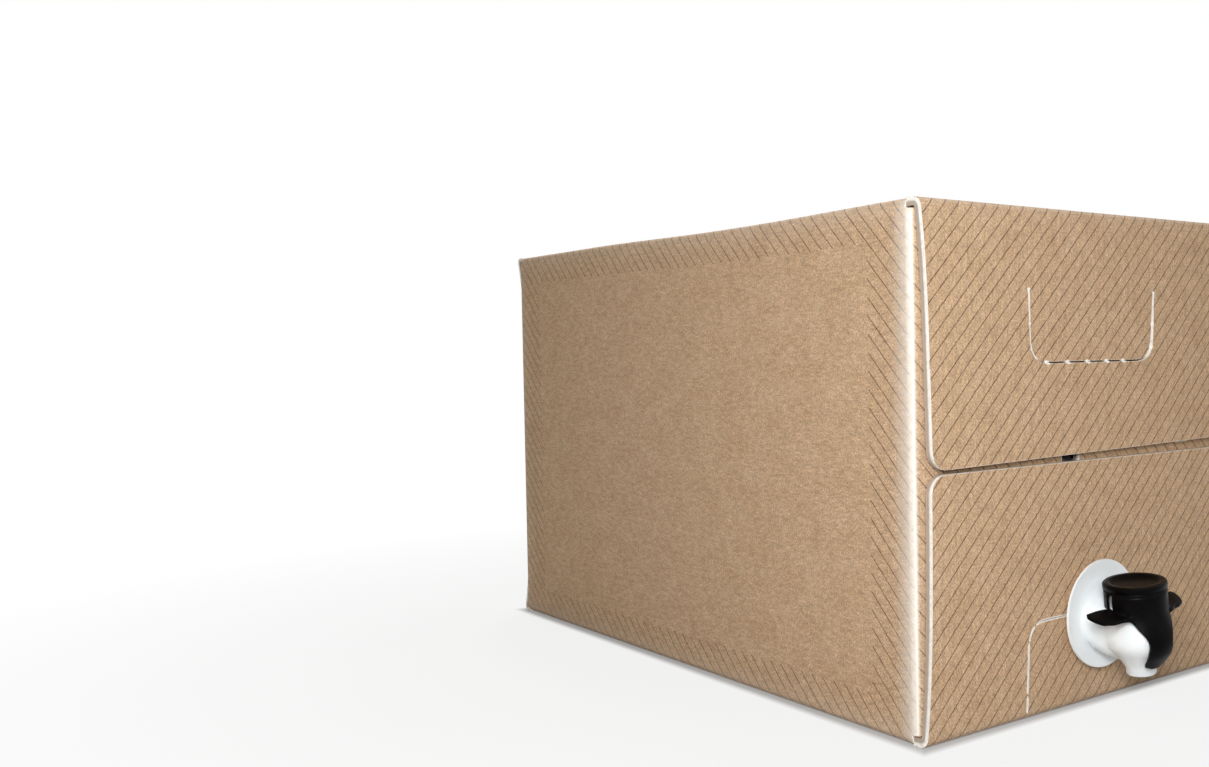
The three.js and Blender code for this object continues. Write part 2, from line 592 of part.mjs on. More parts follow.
function tapBody() {
  const spigot = GLAND_BORE - SPIGOT_CLEARANCE;
  const rimBack = FLANGE_STAND + FLANGE_DISH;
  const spigotAndFlange = turnedOutwards([
    [0, -SPIGOT_LENGTH], [spigot - 0.6, -SPIGOT_LENGTH], [spigot - 0.2, -SPIGOT_LENGTH + 0.8],
    [spigot - 0.2, -SPIGOT_LENGTH / 2 - 0.8], [spigot, -SPIGOT_LENGTH / 2 - 0.3], [spigot, FLANGE_STAND],
    [FLANGE_RADIUS - 0.5, rimBack], [FLANGE_RADIUS, rimBack + 0.4], [FLANGE_RADIUS - 0.1, rimBack + FLANGE_WALL],
    [FLANGE_RADIUS - 0.8, rimBack + FLANGE_WALL], [NECK_ROOT + 0.8, FLANGE_STAND + FLANGE_WALL],
    [NECK_ROOT + 0.3, FLANGE_STAND + FLANGE_WALL + 0.4], [0, FLANGE_STAND + FLANGE_WALL + 0.4],
  ], 60);
  const heights = [];
  for (let h = SPOUT_END + 2.6; h < 2.4; h += 1.9) heights.push(h);
  const bead = BARREL_RADIUS + BARREL_BEAD;
  const barrel = turnedUpright([
    [0, SPOUT_END], [SPOUT_RADIUS - 0.3, SPOUT_END], [SPOUT_RADIUS, SPOUT_END + 0.4],
    ...heights.map((h) => [bodyRadius(h), h]),
    [BARREL_RADIUS, 2.4], [BARREL_RADIUS, BARREL_TOP - 2.2], [bead, BARREL_TOP - 1.7],
    [bead, BARREL_TOP - 0.4], [bead - 0.4, BARREL_TOP], [0, BARREL_TOP],
  ]).translate(0, -BARREL_REACH, 0);
  const outside = joined([spigotAndFlange, neckForm(1.2, BARREL_REACH, 0), barrel]);

  const passageEnd = BARREL_REACH - BARREL_RADIUS - 0.6;
  const upright = (radius, low, high, segments) =>
    turnedUpright([[0, low], [radius, low], [radius, high], [0, high]], segments).translate(0, -BARREL_REACH, 0);
  const port = turnedOutwards([
    [0, passageEnd - 1], [PORT_RADIUS, passageEnd - 1], [PORT_RADIUS, BARREL_REACH], [0, BARREL_REACH],
  ], 24).translate(0, 0, PORT_HEIGHT);
  const grooveHalf = LUG_SIZE / 2 + GROOVE_CLEARANCE;
  const grooveReach = LUG_REACH + GROOVE_CLEARANCE;
  const inside = [
    turnedOutwards([
      [0, -SPIGOT_LENGTH - 1], [SPIGOT_BORE, -SPIGOT_LENGTH - 1], [SPIGOT_BORE, 1.8], [0, 1.8],
    ]),
    neckForm(1.2, passageEnd, NECK_WALL),
    port,
    upright(BARREL_BORE, SEAT_HEIGHT, BARREL_TOP + 1, ROUND),
    upright(SPOUT_BORE, SPOUT_END - 1, SEAT_HEIGHT + 1, SMALL_ROUND),
    block(-grooveReach, grooveReach, -BARREL_REACH - grooveHalf, -BARREL_REACH + grooveHalf,
      LUG_HEIGHT - 2 * LUG_SIZE + 1, BARREL_TOP + 1),
  ];
  return meshOf('tap_body', cutBy(outside, inside), whitePlastic());
}

// Lever: cap, half skirt, tongue over the spout, two wings and two thin catches, one moulding

// Inside radius of the skirt and tongue, clear of the body as they turn
const tongueInside = smoothly([
  [TONGUE_TIP, 7.2], [-14, 9.4], [-11, 11.7], [BELLY_HEIGHT, BELLY_RADIUS + LEVER_PLAY],
  [-3.6, BELLY_RADIUS + 0.3], [0, BARREL_RADIUS + 2], [3, skirtBore + 0.15], [5, skirtBore], [CAP_TOP, skirtBore],
]);

// Half spread of the skirt and tongue, in degrees from the tongue's middle
const waistSpread = THREE.MathUtils.radToDeg(Math.asin(TONGUE_WAIST / (BELLY_RADIUS + LEVER_PLAY)));
const leverSpread = smoothly([
  [TONGUE_TIP, 10], [TONGUE_TIP + 0.5, 22], [TONGUE_TIP + 1.4, 28], [-13, 25], [-9, waistSpread + 1],
  [-6, waistSpread], [-3, waistSpread + 5], [0.4, 39], [SKIRT_FOOT, 50], [SKIRT_FOOT + 1.2, 70],
  [SKIRT_FOOT + 2.4, SKIRT_SPREAD], [CAP_TOP, SKIRT_SPREAD],
]);

const onBarrel = (radius, degrees, height) => new THREE.Vector3(
  radius * Math.sin(rad(degrees)), -radius * Math.cos(rad(degrees)), height,
);

function skirtAndTongue() {
  const top = CAP_TOP - CAP_SKIRT + 0.3;
  const surface = (extra) => (u, v) => {
    const height = TONGUE_TIP + (top - TONGUE_TIP) * v;
    return onBarrel(tongueInside(height) + extra, leverSpread(height) * (2 * u - 1), height);
  };
  return closedSkin(surface(LEVER_WALL), surface(0), 12, 24);
}

function catchPlate(side) {
  const [from, to] = side > 0 ? [CATCH_FROM, CATCH_TO] : [-CATCH_TO, -CATCH_FROM];
  const surface = (radius) => (u, v) =>
    onBarrel(radius, from + (to - from) * u, CATCH_FOOT + (CAP_TOP - CAP_SKIRT + 0.3 - CATCH_FOOT) * v);
  return closedSkin(surface(skirtBore + LEVER_WALL - 0.1), surface(skirtBore + 0.1), 4, 2);
}

// The wing's outer edge, as reach from the barrel axis for each distance in front of that axis
const wingOutline = smoothly([
  [-1, WING_TIP - 0.5], [0.4, WING_TIP], [4, WING_TIP - 0.7], [6.5, WING_TIP - 2.1], [7.8, WING_TIP - 3.6],
  [WING_CHORD - 1, WING_TIP - 6.4],
]);

function wing(side) {
  const rootRadius = skirtBore + LEVER_WALL / 2;
  const surface = (sunk) => (u, v) => {
    const front = (WING_CHORD - 1) - WING_CHORD * v;
    const root = Math.sqrt(rootRadius ** 2 - front ** 2);
    const reach = side > 0 ? u : 1 - u;
    const x = root + (wingOutline(front) - root) * reach;
    const crown = WING_CROWN * Math.sin(Math.PI * reach);
    const thickness = WING_WALL * (1 - 0.35 * reach);
    return new THREE.Vector3(side * x, -front, WING_BACK_HEIGHT - WING_FALL * (front + 1) + crown - sunk * thickness);
  };
  return closedSkin(surface(0), surface(1), 6, 7);
}

function tapLever() {
  const capUnder = CAP_TOP - CAP_PLATE;
  const capFoot = CAP_TOP - CAP_SKIRT;
  const capRadius = skirtBore + LEVER_WALL;
  const cap = turnedUpright([
    [0, capUnder], [skirtBore, capUnder], [skirtBore, capFoot], [capRadius - 0.1, capFoot],
    [capRadius - 0.1, capFoot + 0.7], [capRadius - 0.5, capFoot + 0.9], [capRadius - 0.5, capFoot + 1.2],
    [capRadius + 0.1, capFoot + 1.4], [capRadius + 0.1, CAP_TOP - 0.6], [capRadius - 0.5, CAP_TOP],
    [CAP_RECESS_RADIUS + 0.7, CAP_TOP], [CAP_RECESS_RADIUS, CAP_TOP - CAP_RECESS], [0, CAP_TOP - CAP_RECESS],
  ], 60);
  const bossBore = STEM_RADIUS + 2 * FIT;
  const boss = turnedUpright([
    [bossBore, BOSS_FOOT], [BOSS_RADIUS, BOSS_FOOT], [BOSS_RADIUS, capUnder + 0.3], [bossBore, capUnder + 0.3],
    [bossBore, BOSS_FOOT],
  ], SMALL_ROUND);
  const slotSize = LUG_SIZE + 2 * GROOVE_CLEARANCE;
  const spiralSlots = [];
  for (let k = 0; k <= 9; k += 1) {
    const opened = k / 9;
    spiralSlots.push(new THREE.BoxGeometry(2 * BOSS_RADIUS + 2, slotSize, slotSize)
      .translate(0, 0, LUG_HEIGHT + VALVE_LIFT * opened)
      .rotateZ(rad(LEVER_TURN_AT_REST - LEVER_TRAVEL * opened)));
  }
  const slottedBoss = cutBy(solidOf(boss), spiralSlots);
  const outside = joined([cap, skirtAndTongue(), catchPlate(-1), catchPlate(1), wing(-1), wing(1)]);
  return meshOf('tap_lever', outside.add(slottedBoss), blackPlastic());
}

// Valve: a stem with two lugs, the rubber plug on its foot and the seal ring it slides through

function valveStem() {
  const foot = plugTop - PLUG_POCKET + FIT;
  const rod = turnedUpright([
    [0, foot], [STEM_RADIUS - 0.3, foot], [STEM_RADIUS, foot + 0.3], [STEM_RADIUS, plugTop + FIT],
    [STEM_RADIUS + 1.5, plugTop + FIT], [STEM_RADIUS + 1.5, plugTop + FIT + 0.8], [STEM_RADIUS, plugTop + FIT + 0.8],
    [STEM_RADIUS, STEM_TOP - 0.5], [STEM_RADIUS - 0.5, STEM_TOP], [0, STEM_TOP],
  ], SMALL_ROUND);
  const lugs = new THREE.BoxGeometry(2 * LUG_REACH, LUG_SIZE, LUG_SIZE).translate(0, 0, LUG_HEIGHT);
  return meshOf('valve_stem', joined([rod, lugs]), whitePlastic());
}

function valvePlug() {
  const profile = [
    [0, plugTop - PLUG_THICKNESS], [PLUG_RADIUS - 1, plugTop - PLUG_THICKNESS], [PLUG_RADIUS, plugTop - PLUG_THICKNESS + 1],
    [PLUG_RADIUS, plugTop - 0.4], [PLUG_RADIUS - 0.4, plugTop], [STEM_RADIUS + FIT, plugTop],
    [STEM_RADIUS + FIT, plugTop - PLUG_POCKET], [0, plugTop - PLUG_POCKET],
  ];
  return meshOf('valve_plug', solidOf(turnedUpright(profile, SMALL_ROUND)), softSeal());
}

function stemSeal() {
  const [inner, outer] = [STEM_RADIUS + FIT, BARREL_BORE - FIT];
  const profile = [
    [inner, -SEAL_THICKNESS], [outer, -SEAL_THICKNESS], [outer, 0], [outer - 1, 0], [outer - 1.6, -0.5],
    [inner + 1.2, -0.5], [inner + 0.8, 0], [inner, 0], [inner, -SEAL_THICKNESS],
  ];
  return meshOf('stem_seal', solidOf(turnedUpright(profile, SMALL_ROUND)), softSeal());
}

// Assembly

function tap() {
  const group = new THREE.Group();
  group.position.set(0, -outerFace, TAP_HEIGHT);
  group.rotation.y = -rad(TAP_LEAN);
  const onBarrelAxis = new THREE.Group();
  onBarrelAxis.position.y = -BARREL_REACH;
  const lever = tapLever();
  lever.rotation.z = -rad(LEVER_TURN_AT_REST);
  onBarrelAxis.add(lever, valveStem(), valvePlug(), stemSeal());
  group.add(tapBody(), onBarrelAxis);
  return group;
}

const bagInBox = new THREE.Group();
bagInBox.add(carton(), ...hotMeltRibbons(), bag(), gland(), tap());

export default bagInBox;
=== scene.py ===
import bmesh
import bpy
import numpy as np
from mathutils import Matrix, Vector
from mathutils.geometry import delaunay_2d_cdt


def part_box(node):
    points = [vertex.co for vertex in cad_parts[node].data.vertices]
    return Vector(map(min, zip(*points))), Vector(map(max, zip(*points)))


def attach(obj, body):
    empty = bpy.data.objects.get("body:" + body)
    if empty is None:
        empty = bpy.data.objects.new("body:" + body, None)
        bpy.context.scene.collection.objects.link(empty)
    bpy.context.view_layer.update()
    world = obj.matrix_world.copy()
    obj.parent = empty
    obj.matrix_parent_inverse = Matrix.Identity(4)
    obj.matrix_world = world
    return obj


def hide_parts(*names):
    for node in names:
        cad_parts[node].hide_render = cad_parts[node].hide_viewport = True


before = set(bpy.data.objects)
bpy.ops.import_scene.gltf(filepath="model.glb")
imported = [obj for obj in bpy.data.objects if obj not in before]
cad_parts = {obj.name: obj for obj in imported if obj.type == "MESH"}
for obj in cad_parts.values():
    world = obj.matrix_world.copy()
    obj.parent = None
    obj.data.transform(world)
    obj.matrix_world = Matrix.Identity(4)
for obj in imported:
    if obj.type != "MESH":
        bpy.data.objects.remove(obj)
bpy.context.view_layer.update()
MM = 0.001
scene = bpy.context.scene

# Camera.
# It stands where the photograph was taken: a little under the top face, in front of the near corner.
# The picture's optical axis lies right of its middle, which the shift gives.
CAMERA_PLACE = Vector((-377.8, -462.9, 137.6)) * MM
CAMERA_FORWARD = Vector((0.6314, 0.7750, -0.0266))
CAMERA_UP = Vector((0.0290, 0.0106, 0.9995))
LENS = 36.39
PICTURE_SHIFT = -0.1915

camera_data = bpy.data.cameras.new("camera")
camera_data.lens = LENS
camera_data.sensor_width = 36
camera_data.shift_x = PICTURE_SHIFT
camera_data.clip_start = 0.01
camera_data.clip_end = 50
camera = bpy.data.objects.new("camera", camera_data)
scene.collection.objects.link(camera)
backward = -CAMERA_FORWARD.normalized()
rightward = CAMERA_UP.cross(backward).normalized()
upward = backward.cross(rightward)
turn = Matrix((rightward, upward, backward)).transposed().to_4x4()
camera.matrix_world = Matrix.Translation(CAMERA_PLACE) @ turn
scene.camera = camera
scene.view_settings.view_transform = "Standard"

# Studio.
# A pale floor that runs out of sight, an even warm surround and soft lamps, the strongest beside the camera
# like the photograph's flash. The camera sees floor and surround as white, with the carton's shadow.
FLOOR_HALF = 6.0
FLOOR_DROP = 0.2 * MM
FLOOR_PALE = 0.5
SHADOW_SHARE = 0.16
SHADOW_REACH = (0.22, 0.48)
# How far round the carton's foot a painted contact shadow darkens the floor, and how much glow stays there.
CONTACT_SHADOW_REACH = (0.3 * MM, 4.5 * MM)
CONTACT_SHADOW_WHITENESS = 0.25
SURROUND = (1.0, 0.95, 0.87)
SURROUND_LEVEL = 0.14
FLASH_WHITE = (1, 0.995, 0.975)
FILL_WHITE = (1, 0.99, 0.97)


def node(tree, kind, *links, **settings):
    """Adds a shader node of a kind, sets its properties, and links or sets the inputs given in order."""
    made = tree.nodes.new("ShaderNode" + kind)
    inputs = settings.pop("inputs", {})
    for name, value in settings.items():
        setattr(made, name, value)
    for key, value in list(enumerate(links)) + list(inputs.items()):
        if isinstance(value, bpy.types.NodeSocket):
            tree.links.new(value, made.inputs[key])
        else:
            made.inputs[key].default_value = value
    return made


def seen_directly(tree):
    """One where the ray comes from the camera, from a glossy surface or through a clear one."""
    path = node(tree, "LightPath")
    glossy = node(tree, "Math", path.outputs["Is Camera Ray"], path.outputs["Is Glossy Ray"],
                  operation="MAXIMUM")
    return node(tree, "Math", glossy.outputs[0], path.outputs["Is Transmission Ray"],
                operation="MAXIMUM").outputs[0]


world = bpy.data.worlds.new("studio")
scene.world = world
world.use_nodes = True
world_tree = world.node_tree
world_tree.nodes.clear()
surround = node(world_tree, "Background", (*SURROUND, 1), SURROUND_LEVEL)
white = node(world_tree, "Background", (1, 1, 1, 1), 1.0)
backdrop = node(world_tree, "MixShader", seen_directly(world_tree), surround.outputs[0],
                white.outputs[0])
node(world_tree, "OutputWorld", backdrop.outputs[0])

floor_mesh = bpy.data.meshes.new("floor")
floor_corners = [(x * FLOOR_HALF, y * FLOOR_HALF, -FLOOR_DROP)
                 for x, y in ((-1, -1), (1, -1), (1, 1), (-1, 1))]
floor_mesh.from_pydata(floor_corners, [], [(0, 1, 2, 3)])
floor = bpy.data.objects.new("floor", floor_mesh)
scene.collection.objects.link(floor)
floor_paint = bpy.data.materials.new("floor_white")
floor_paint.use_nodes = True
floor_tree = floor_paint.node_tree
floor_tree.nodes.clear()
matt = node(floor_tree, "BsdfDiffuse", (FLOOR_PALE, FLOOR_PALE, FLOOR_PALE, 1))
glow = node(floor_tree, "Emission", (1, 1, 1, 1), 1.0)
place_on_floor = node(floor_tree, "TexCoord").outputs["Object"]
from_middle = node(floor_tree, "VectorMath", place_on_floor, operation="LENGTH").outputs["Value"]
whiteness = node(floor_tree, "MapRange", from_middle, *SHADOW_REACH, 1 - SHADOW_SHARE, 1.0)
# Close round the carton's foot the glow gives way to the lit matt floor. This is a painted contact shadow,
# with the real shadow in it.
across = node(floor_tree, "VectorMath", place_on_floor, operation="ABSOLUTE").outputs["Vector"]
beyond = node(floor_tree, "VectorMath", across, tuple(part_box("carton")[1]), operation="SUBTRACT")
sides = node(floor_tree, "SeparateXYZ", beyond.outputs["Vector"]).outputs
from_carton = node(floor_tree, "Math", sides["X"], sides["Y"], operation="MAXIMUM").outputs[0]
contact_shadow = node(floor_tree, "MapRange", from_carton, *CONTACT_SHADOW_REACH, CONTACT_SHADOW_WHITENESS, 1.0)
lit = node(floor_tree, "Math", whiteness.outputs[0], contact_shadow.outputs[0], operation="MULTIPLY")
keep = node(floor_tree, "Math", seen_directly(floor_tree), lit.outputs[0], operation="MULTIPLY")
floor_mix = node(floor_tree, "MixShader", keep.outputs[0], matt.outputs[0], glow.outputs[0])
node(floor_tree, "OutputMaterial", floor_mix.outputs[0])
floor_mesh.materials.append(floor_paint)


def soft_lamp(name, place, aim, size, watts, colour):
    """A square area lamp at place that faces the point aim."""
    lamp = bpy.data.lights.new(name, "AREA")
    lamp.size = size
    lamp.energy = watts
    lamp.color = colour
    made = bpy.data.objects.new(name, lamp)
    scene.collection.objects.link(made)
    made.location = place
    made.rotation_euler = (Vector(aim) - Vector(place)).to_track_quat("-Z", "Y").to_euler()


soft_lamp("near_corner", (-0.44, -0.50, 0.28), (-0.09, -0.12, 0.09), 0.22, 3.2, FLASH_WHITE)
soft_lamp("front_fill", (0.45, -1.5, 0.9), (0, -0.15, 0.1), 1.0, 3, FILL_WHITE)
soft_lamp("back_fill", (0.9, 1.5, 1.2), (0, 0.1, 0.1), 1.2, 21, FILL_WHITE)
soft_lamp("top_fill", (0.35, 0.3, 1.6), (0, 0, 0.1), 0.6, 9, FILL_WHITE)

# Corrugated board.
# The carton is one blank: two brown liners on a wavy middle ply, die cut, creased and folded. Each panel and
# flap is cut here as a flat sheet in the blank's own coordinates, given its thickness and folded into place.
BOARD = 3.0 * MM
OUTER_RADIUS = BOARD
QUARTER = np.pi / 2 * OUTER_RADIUS
EIGHTH = QUARTER / 2
BOARD_SHARP_ANGLE = np.radians(40)
HATCH_PITCH = 6.64 * MM
HATCH_LINE = 0.34 * MM
INK_WOBBLE = 0.09 * MM
SIDE_BAND = 13.6 * MM
END_BAND = 22.6 * MM
WHOLE_SHEET = 1.0
FLUTE_PITCH = 6.4 * MM
FLUTE_HEIGHT = 0.22
GRAIN_HEIGHT = 0.5
PAPER_RELIEF = 0.12 * MM
PAPER_GLOSS = 0.3
CREASE_CORE = (0.2 * MM, 1.8 * MM)
# The soft band beside a fold is a painted highlight, not wear.
CREASE_HIGHLIGHT_BAND = (1.0 * MM, 13.0 * MM)
QUIET_CREASE = 0.16
BACK_END_CREASE = 0.2
CUT_RELIEF = 0.3 * MM
PULP_DARK = (0.500, 0.328, 0.196, 1)
PULP_PALE = (0.588, 0.412, 0.266, 1)
INK = (0.092, 0.040, 0.016, 1)
# The pale of rubbed folds, also the colour of the painted highlight beside them.
RUBBED_AND_HIGHLIGHT = (0.86, 0.815, 0.76, 1)
CUT_PAPER = (0.93, 0.90, 0.86, 1)
# Painted shade for the flutes' hollows and for the inner half of a cut edge.
CUT_SHADE = (0.34, 0.26, 0.19, 1)

carton_low, carton_high = (np.array(corner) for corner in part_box("carton"))
HALF_WIDTH = carton_high[0]
HEIGHT = carton_high[2]
OUTER_FACE = carton_high[1]
GLUE_GAP = 0.5 * MM
HALF_SIDE = OUTER_FACE - BOARD - GLUE_GAP
SLEEVE_END = HALF_SIDE - BOARD
FOLD_MIDDLE = SLEEVE_END + EIGHTH


def shader_group(name, takes, gives):
    """A node group with named inputs and outputs, its input node and its output node."""
    tree = bpy.data.node_groups.new(name, "ShaderNodeTree")
    for label, kind in takes:
        tree.interface.new_socket(label, in_out="INPUT", socket_type=kind)
    for label, kind in gives:
        tree.interface.new_socket(label, in_out="OUTPUT", socket_type=kind)
    return tree, tree.nodes.new("NodeGroupInput").outputs, tree.nodes.new("NodeGroupOutput").inputs


def value_of(tree, operation, *terms):
    """The output of a math node."""
    return node(tree, "Math", *terms, operation=operation).outputs[0]


def product(tree, first, *others):
    """The terms multiplied with each other."""
    for other in others:
        first = value_of(tree, "MULTIPLY", first, other)
    return first


def spread(tree, value, low, high, to_low=0.0, to_high=1.0):
    """Carries value from the range low..high to to_low..to_high, clamped."""
    return node(tree, "MapRange", value, low, high, to_low, to_high).outputs[0]


def blended(tree, amount, first, second, how="MIX"):
    """The colour that lies amount of the way from first to second."""
    mix = tree.nodes.new("ShaderNodeMix")
    mix.data_type = "RGBA"
    mix.blend_type = how
    for socket, value in ((mix.inputs[0], amount), (mix.inputs[6], first), (mix.inputs[7], second)):
        if isinstance(value, bpy.types.NodeSocket):
            tree.links.new(value, socket)
        else:
            socket.default_value = value
    return mix.outputs[2]


def noise(tree, where, scale, detail=3.0, roughness=0.55):
    """Noise at scale cells in a metre."""
    return node(tree, "TexNoise", inputs={
        "Vector": where, "Scale": scale, "Detail": detail, "Roughness": roughness}).outputs["Fac"]


def stretched(tree, where, factors):
    """The coordinate where, scaled along each axis."""
    return node(tree, "Mapping", inputs={"Vector": where, "Scale": factors}).outputs[0]


def flute_wave(tree, across):
    """The wavy ply's height at a place across the flutes, -1 to 1."""
    return value_of(tree, "SINE", product(tree, across, 2 * np.pi / FLUTE_PITCH))


def kraft_group():
    """Brown kraft paper: cloudy pulp, dark and pale fibres, and the flutes' faint washboard under it."""
    tree, take, give = shader_group(
        "kraft_paper", [("Blank", "NodeSocketVector")],
        [("Color", "NodeSocketColor"), ("Roughness", "NodeSocketFloat"), ("Height", "NodeSocketFloat")])
    where = take["Blank"]
    cloud = noise(tree, stretched(tree, where, (1.0, 0.6, 1.0)), scale=95, detail=9, roughness=0.78)
    grain = noise(tree, where, scale=1350, detail=5, roughness=0.82)
    fibre = noise(tree, stretched(tree, where, (1.0, 0.3, 1.0)), scale=1700, detail=3, roughness=0.6)
    mottle = noise(tree, stretched(tree, where, (1.0, 0.34, 1.0)), scale=600, detail=4, roughness=0.7)
    tone = blended(tree, spread(tree, cloud, 0.33, 0.67), PULP_DARK, PULP_PALE)
    speck = spread(tree, grain, 0.34, 0.66, 0.50, 1.42)
    thread = spread(tree, fibre, 0.3, 0.7, 0.86, 1.12)
    streak = spread(tree, mottle, 0.33, 0.67, 0.82, 1.17)
    shade = product(tree, speck, thread, streak)
    grey = node(tree, "CombineColor", shade, shade, shade).outputs[0]
    tree.links.new(blended(tree, 1.0, tone, grey, "MULTIPLY"), give["Color"])
    tree.links.new(spread(tree, grain, 0.3, 0.7, 0.72, 0.9), give["Roughness"])
    across = node(tree, "SeparateXYZ", where).outputs["X"]
    ribs = product(tree, flute_wave(tree, across), FLUTE_HEIGHT)
    fuzz = product(tree, grain, GRAIN_HEIGHT)
    tree.links.new(value_of(tree, "ADD", ribs, fuzz), give["Height"])
    return tree


def hatch_group():
    """Thin printed lines at 45 degrees: the distance to the nearest line of one family, with uneven ink."""
    tree, take, give = shader_group(
        "printed_hatch", [("Blank", "NodeSocketVector")], [("Ink", "NodeSocketFloat")])
    parts = node(tree, "SeparateXYZ", take["Blank"]).outputs
    along = value_of(tree, "ADD", parts["X"], parts["Y"])
    turns = value_of(tree, "FRACT", value_of(tree, "DIVIDE", along, HATCH_PITCH))
    away = value_of(tree, "ABSOLUTE", value_of(tree, "SUBTRACT", turns, 0.5))
    distance = product(tree, away, HATCH_PITCH / np.sqrt(2))
    wobble = spread(tree, noise(tree, take["Blank"], 1300, 2), 0.3, 0.7, -INK_WOBBLE, INK_WOBBLE)
    edge = value_of(tree, "ADD", distance, wobble)
    line = spread(tree, edge, HATCH_LINE * 0.32, HATCH_LINE * 0.85, 1.0, 0.0)
    density = spread(tree, noise(tree, take["Blank"], 240, 3), 0.3, 0.6, 0.62, 0.95)
    tree.links.new(product(tree, line, density), give["Ink"])
    return tree


def crease_group():
    """Paler paper along a fold: a rubbed core of wear on the fold, and beside it a soft band of painted
    highlight.
    """
    tree, take, give = shader_group(
        "rubbed_and_highlit_crease",
        [("Distance", "NodeSocketFloat"), ("Blank", "NodeSocketVector"), ("PaintedHighlight", "NodeSocketFloat")],
        [("WearAndHighlight", "NodeSocketFloat")])
    patches = spread(tree, noise(tree, take["Blank"], 420, 4, 0.7), 0.32, 0.6, 0.7, 1.0)
    core = spread(tree, take["Distance"], *CREASE_CORE, 1.0, 0.0)
    core = product(tree, core, core)
    # The band beside the fold is painted highlight; only the core on the fold is rubbed wear.
    highlight_band = spread(tree, take["Distance"], *CREASE_HIGHLIGHT_BAND, 0.92, 0.0)
    highlight_band = product(tree, highlight_band, highlight_band, take["PaintedHighlight"])
    tree.links.new(value_of(tree, "MAXIMUM", core, product(tree, highlight_band, patches)), give["WearAndHighlight"])
    return tree


KRAFT = kraft_group()
HATCH = hatch_group()
CREASE = crease_group()


def new_material(name):
    """A new node material, its node tree and its shader, which is linked to the output."""
    made = bpy.data.materials.new(name)
    made.use_nodes = True
    tree = made.node_tree
    tree.nodes.clear()
    shader = tree.nodes.new("ShaderNodeBsdfPrincipled")
    node(tree, "OutputMaterial", shader.outputs[0])
    return made, tree, shader


def bumped(tree, shader, height, distance):
    """Gives the shader a relief, in which a height of one stands for the distance."""
    bump = node(tree, "Bump", inputs={"Height": height, "Distance": distance})
    tree.links.new(bump.outputs[0], shader.inputs["Normal"])


def blank_place(tree):
    """The point's place on the flat blank, and its depth in the board."""
    return node(tree, "Attribute", attribute_name="blank").outputs["Vector"]


def paper_surface(tree, shader, colour, paper):
    """Gives the shader the colour, and the kraft paper's roughness, gloss and relief."""
    tree.links.new(colour, shader.inputs["Base Color"])
    tree.links.new(paper["Roughness"], shader.inputs["Roughness"])
    shader.inputs["Specular IOR Level"].default_value = PAPER_GLOSS
    bumped(tree, shader, paper["Height"], PAPER_RELIEF)


def printed_kraft(name, side_band, end_band, end_crease, side_crease, flap_highlight=1.0):
    """Outer liner with hatch lines nearer than a band's width to the panel's folds. The folds are rubbed pale
    by end_crease and side_crease, and a soft painted highlight lies beside them. The highlight is full on a
    panel and scaled down on a flap by the last argument, and the end folds' wear and highlight fade towards
    the back end."""
    made, tree, shader = new_material(name)
    blank = blank_place(tree)
    margin = node(tree, "Attribute", attribute_name="margin").outputs["Vector"]
    fray = node(tree, "Attribute", attribute_name="fray").outputs["Fac"]
    paper = node(tree, "Group", blank, node_tree=KRAFT).outputs
    ink = node(tree, "Group", blank, node_tree=HATCH).outputs[0]
    away = node(tree, "SeparateXYZ", margin).outputs
    near_side = value_of(tree, "LESS_THAN", away["X"], side_band)
    near_end = value_of(tree, "LESS_THAN", away["Y"], end_band)
    printed = product(tree, ink, value_of(tree, "MAXIMUM", near_side, near_end))
    lengthwise = node(tree, "SeparateXYZ", blank).outputs["Y"]
    # The painted highlight beside the folds is full on a panel and weaker on a flap; the end folds' wear and
    # highlight fade towards the back end.
    on_panel = value_of(tree, "LESS_THAN", value_of(tree, "ABSOLUTE", lengthwise), FOLD_MIDDLE)
    glow = value_of(tree, "MAXIMUM", on_panel, flap_highlight)
    towards_tap = spread(tree, lengthwise, -HALF_SIDE, HALF_SIDE, BACK_END_CREASE, 1.0)
    end_wear_and_highlight = node(tree, "Group", away["Y"], blank, glow, node_tree=CREASE).outputs[0]
    end_wear_and_highlight = product(tree, end_wear_and_highlight, towards_tap, end_crease)
    side_wear_and_highlight = node(tree, "Group", away["X"], blank, glow, node_tree=CREASE).outputs[0]
    side_wear_and_highlight = product(tree, side_wear_and_highlight, side_crease)
    inked = blended(tree, printed, paper["Color"], INK)
    # Rubbed wear and painted highlight both pale the paper here.
    worn_and_highlit = blended(tree, value_of(tree, "MAXIMUM", end_wear_and_highlight, side_wear_and_highlight), inked, RUBBED_AND_HIGHLIGHT)
    torn = blended(tree, spread(tree, fray, 0.1, 0.75), worn_and_highlit, CUT_PAPER)
    paper_surface(tree, shader, torn, paper)
    return made


def plain_kraft():
    """Inner liner, unprinted."""
    made, tree, shader = new_material("kraft_inside")
    paper = node(tree, "Group", blank_place(tree), node_tree=KRAFT).outputs
    paper_surface(tree, shader, paper["Color"], paper)
    return made


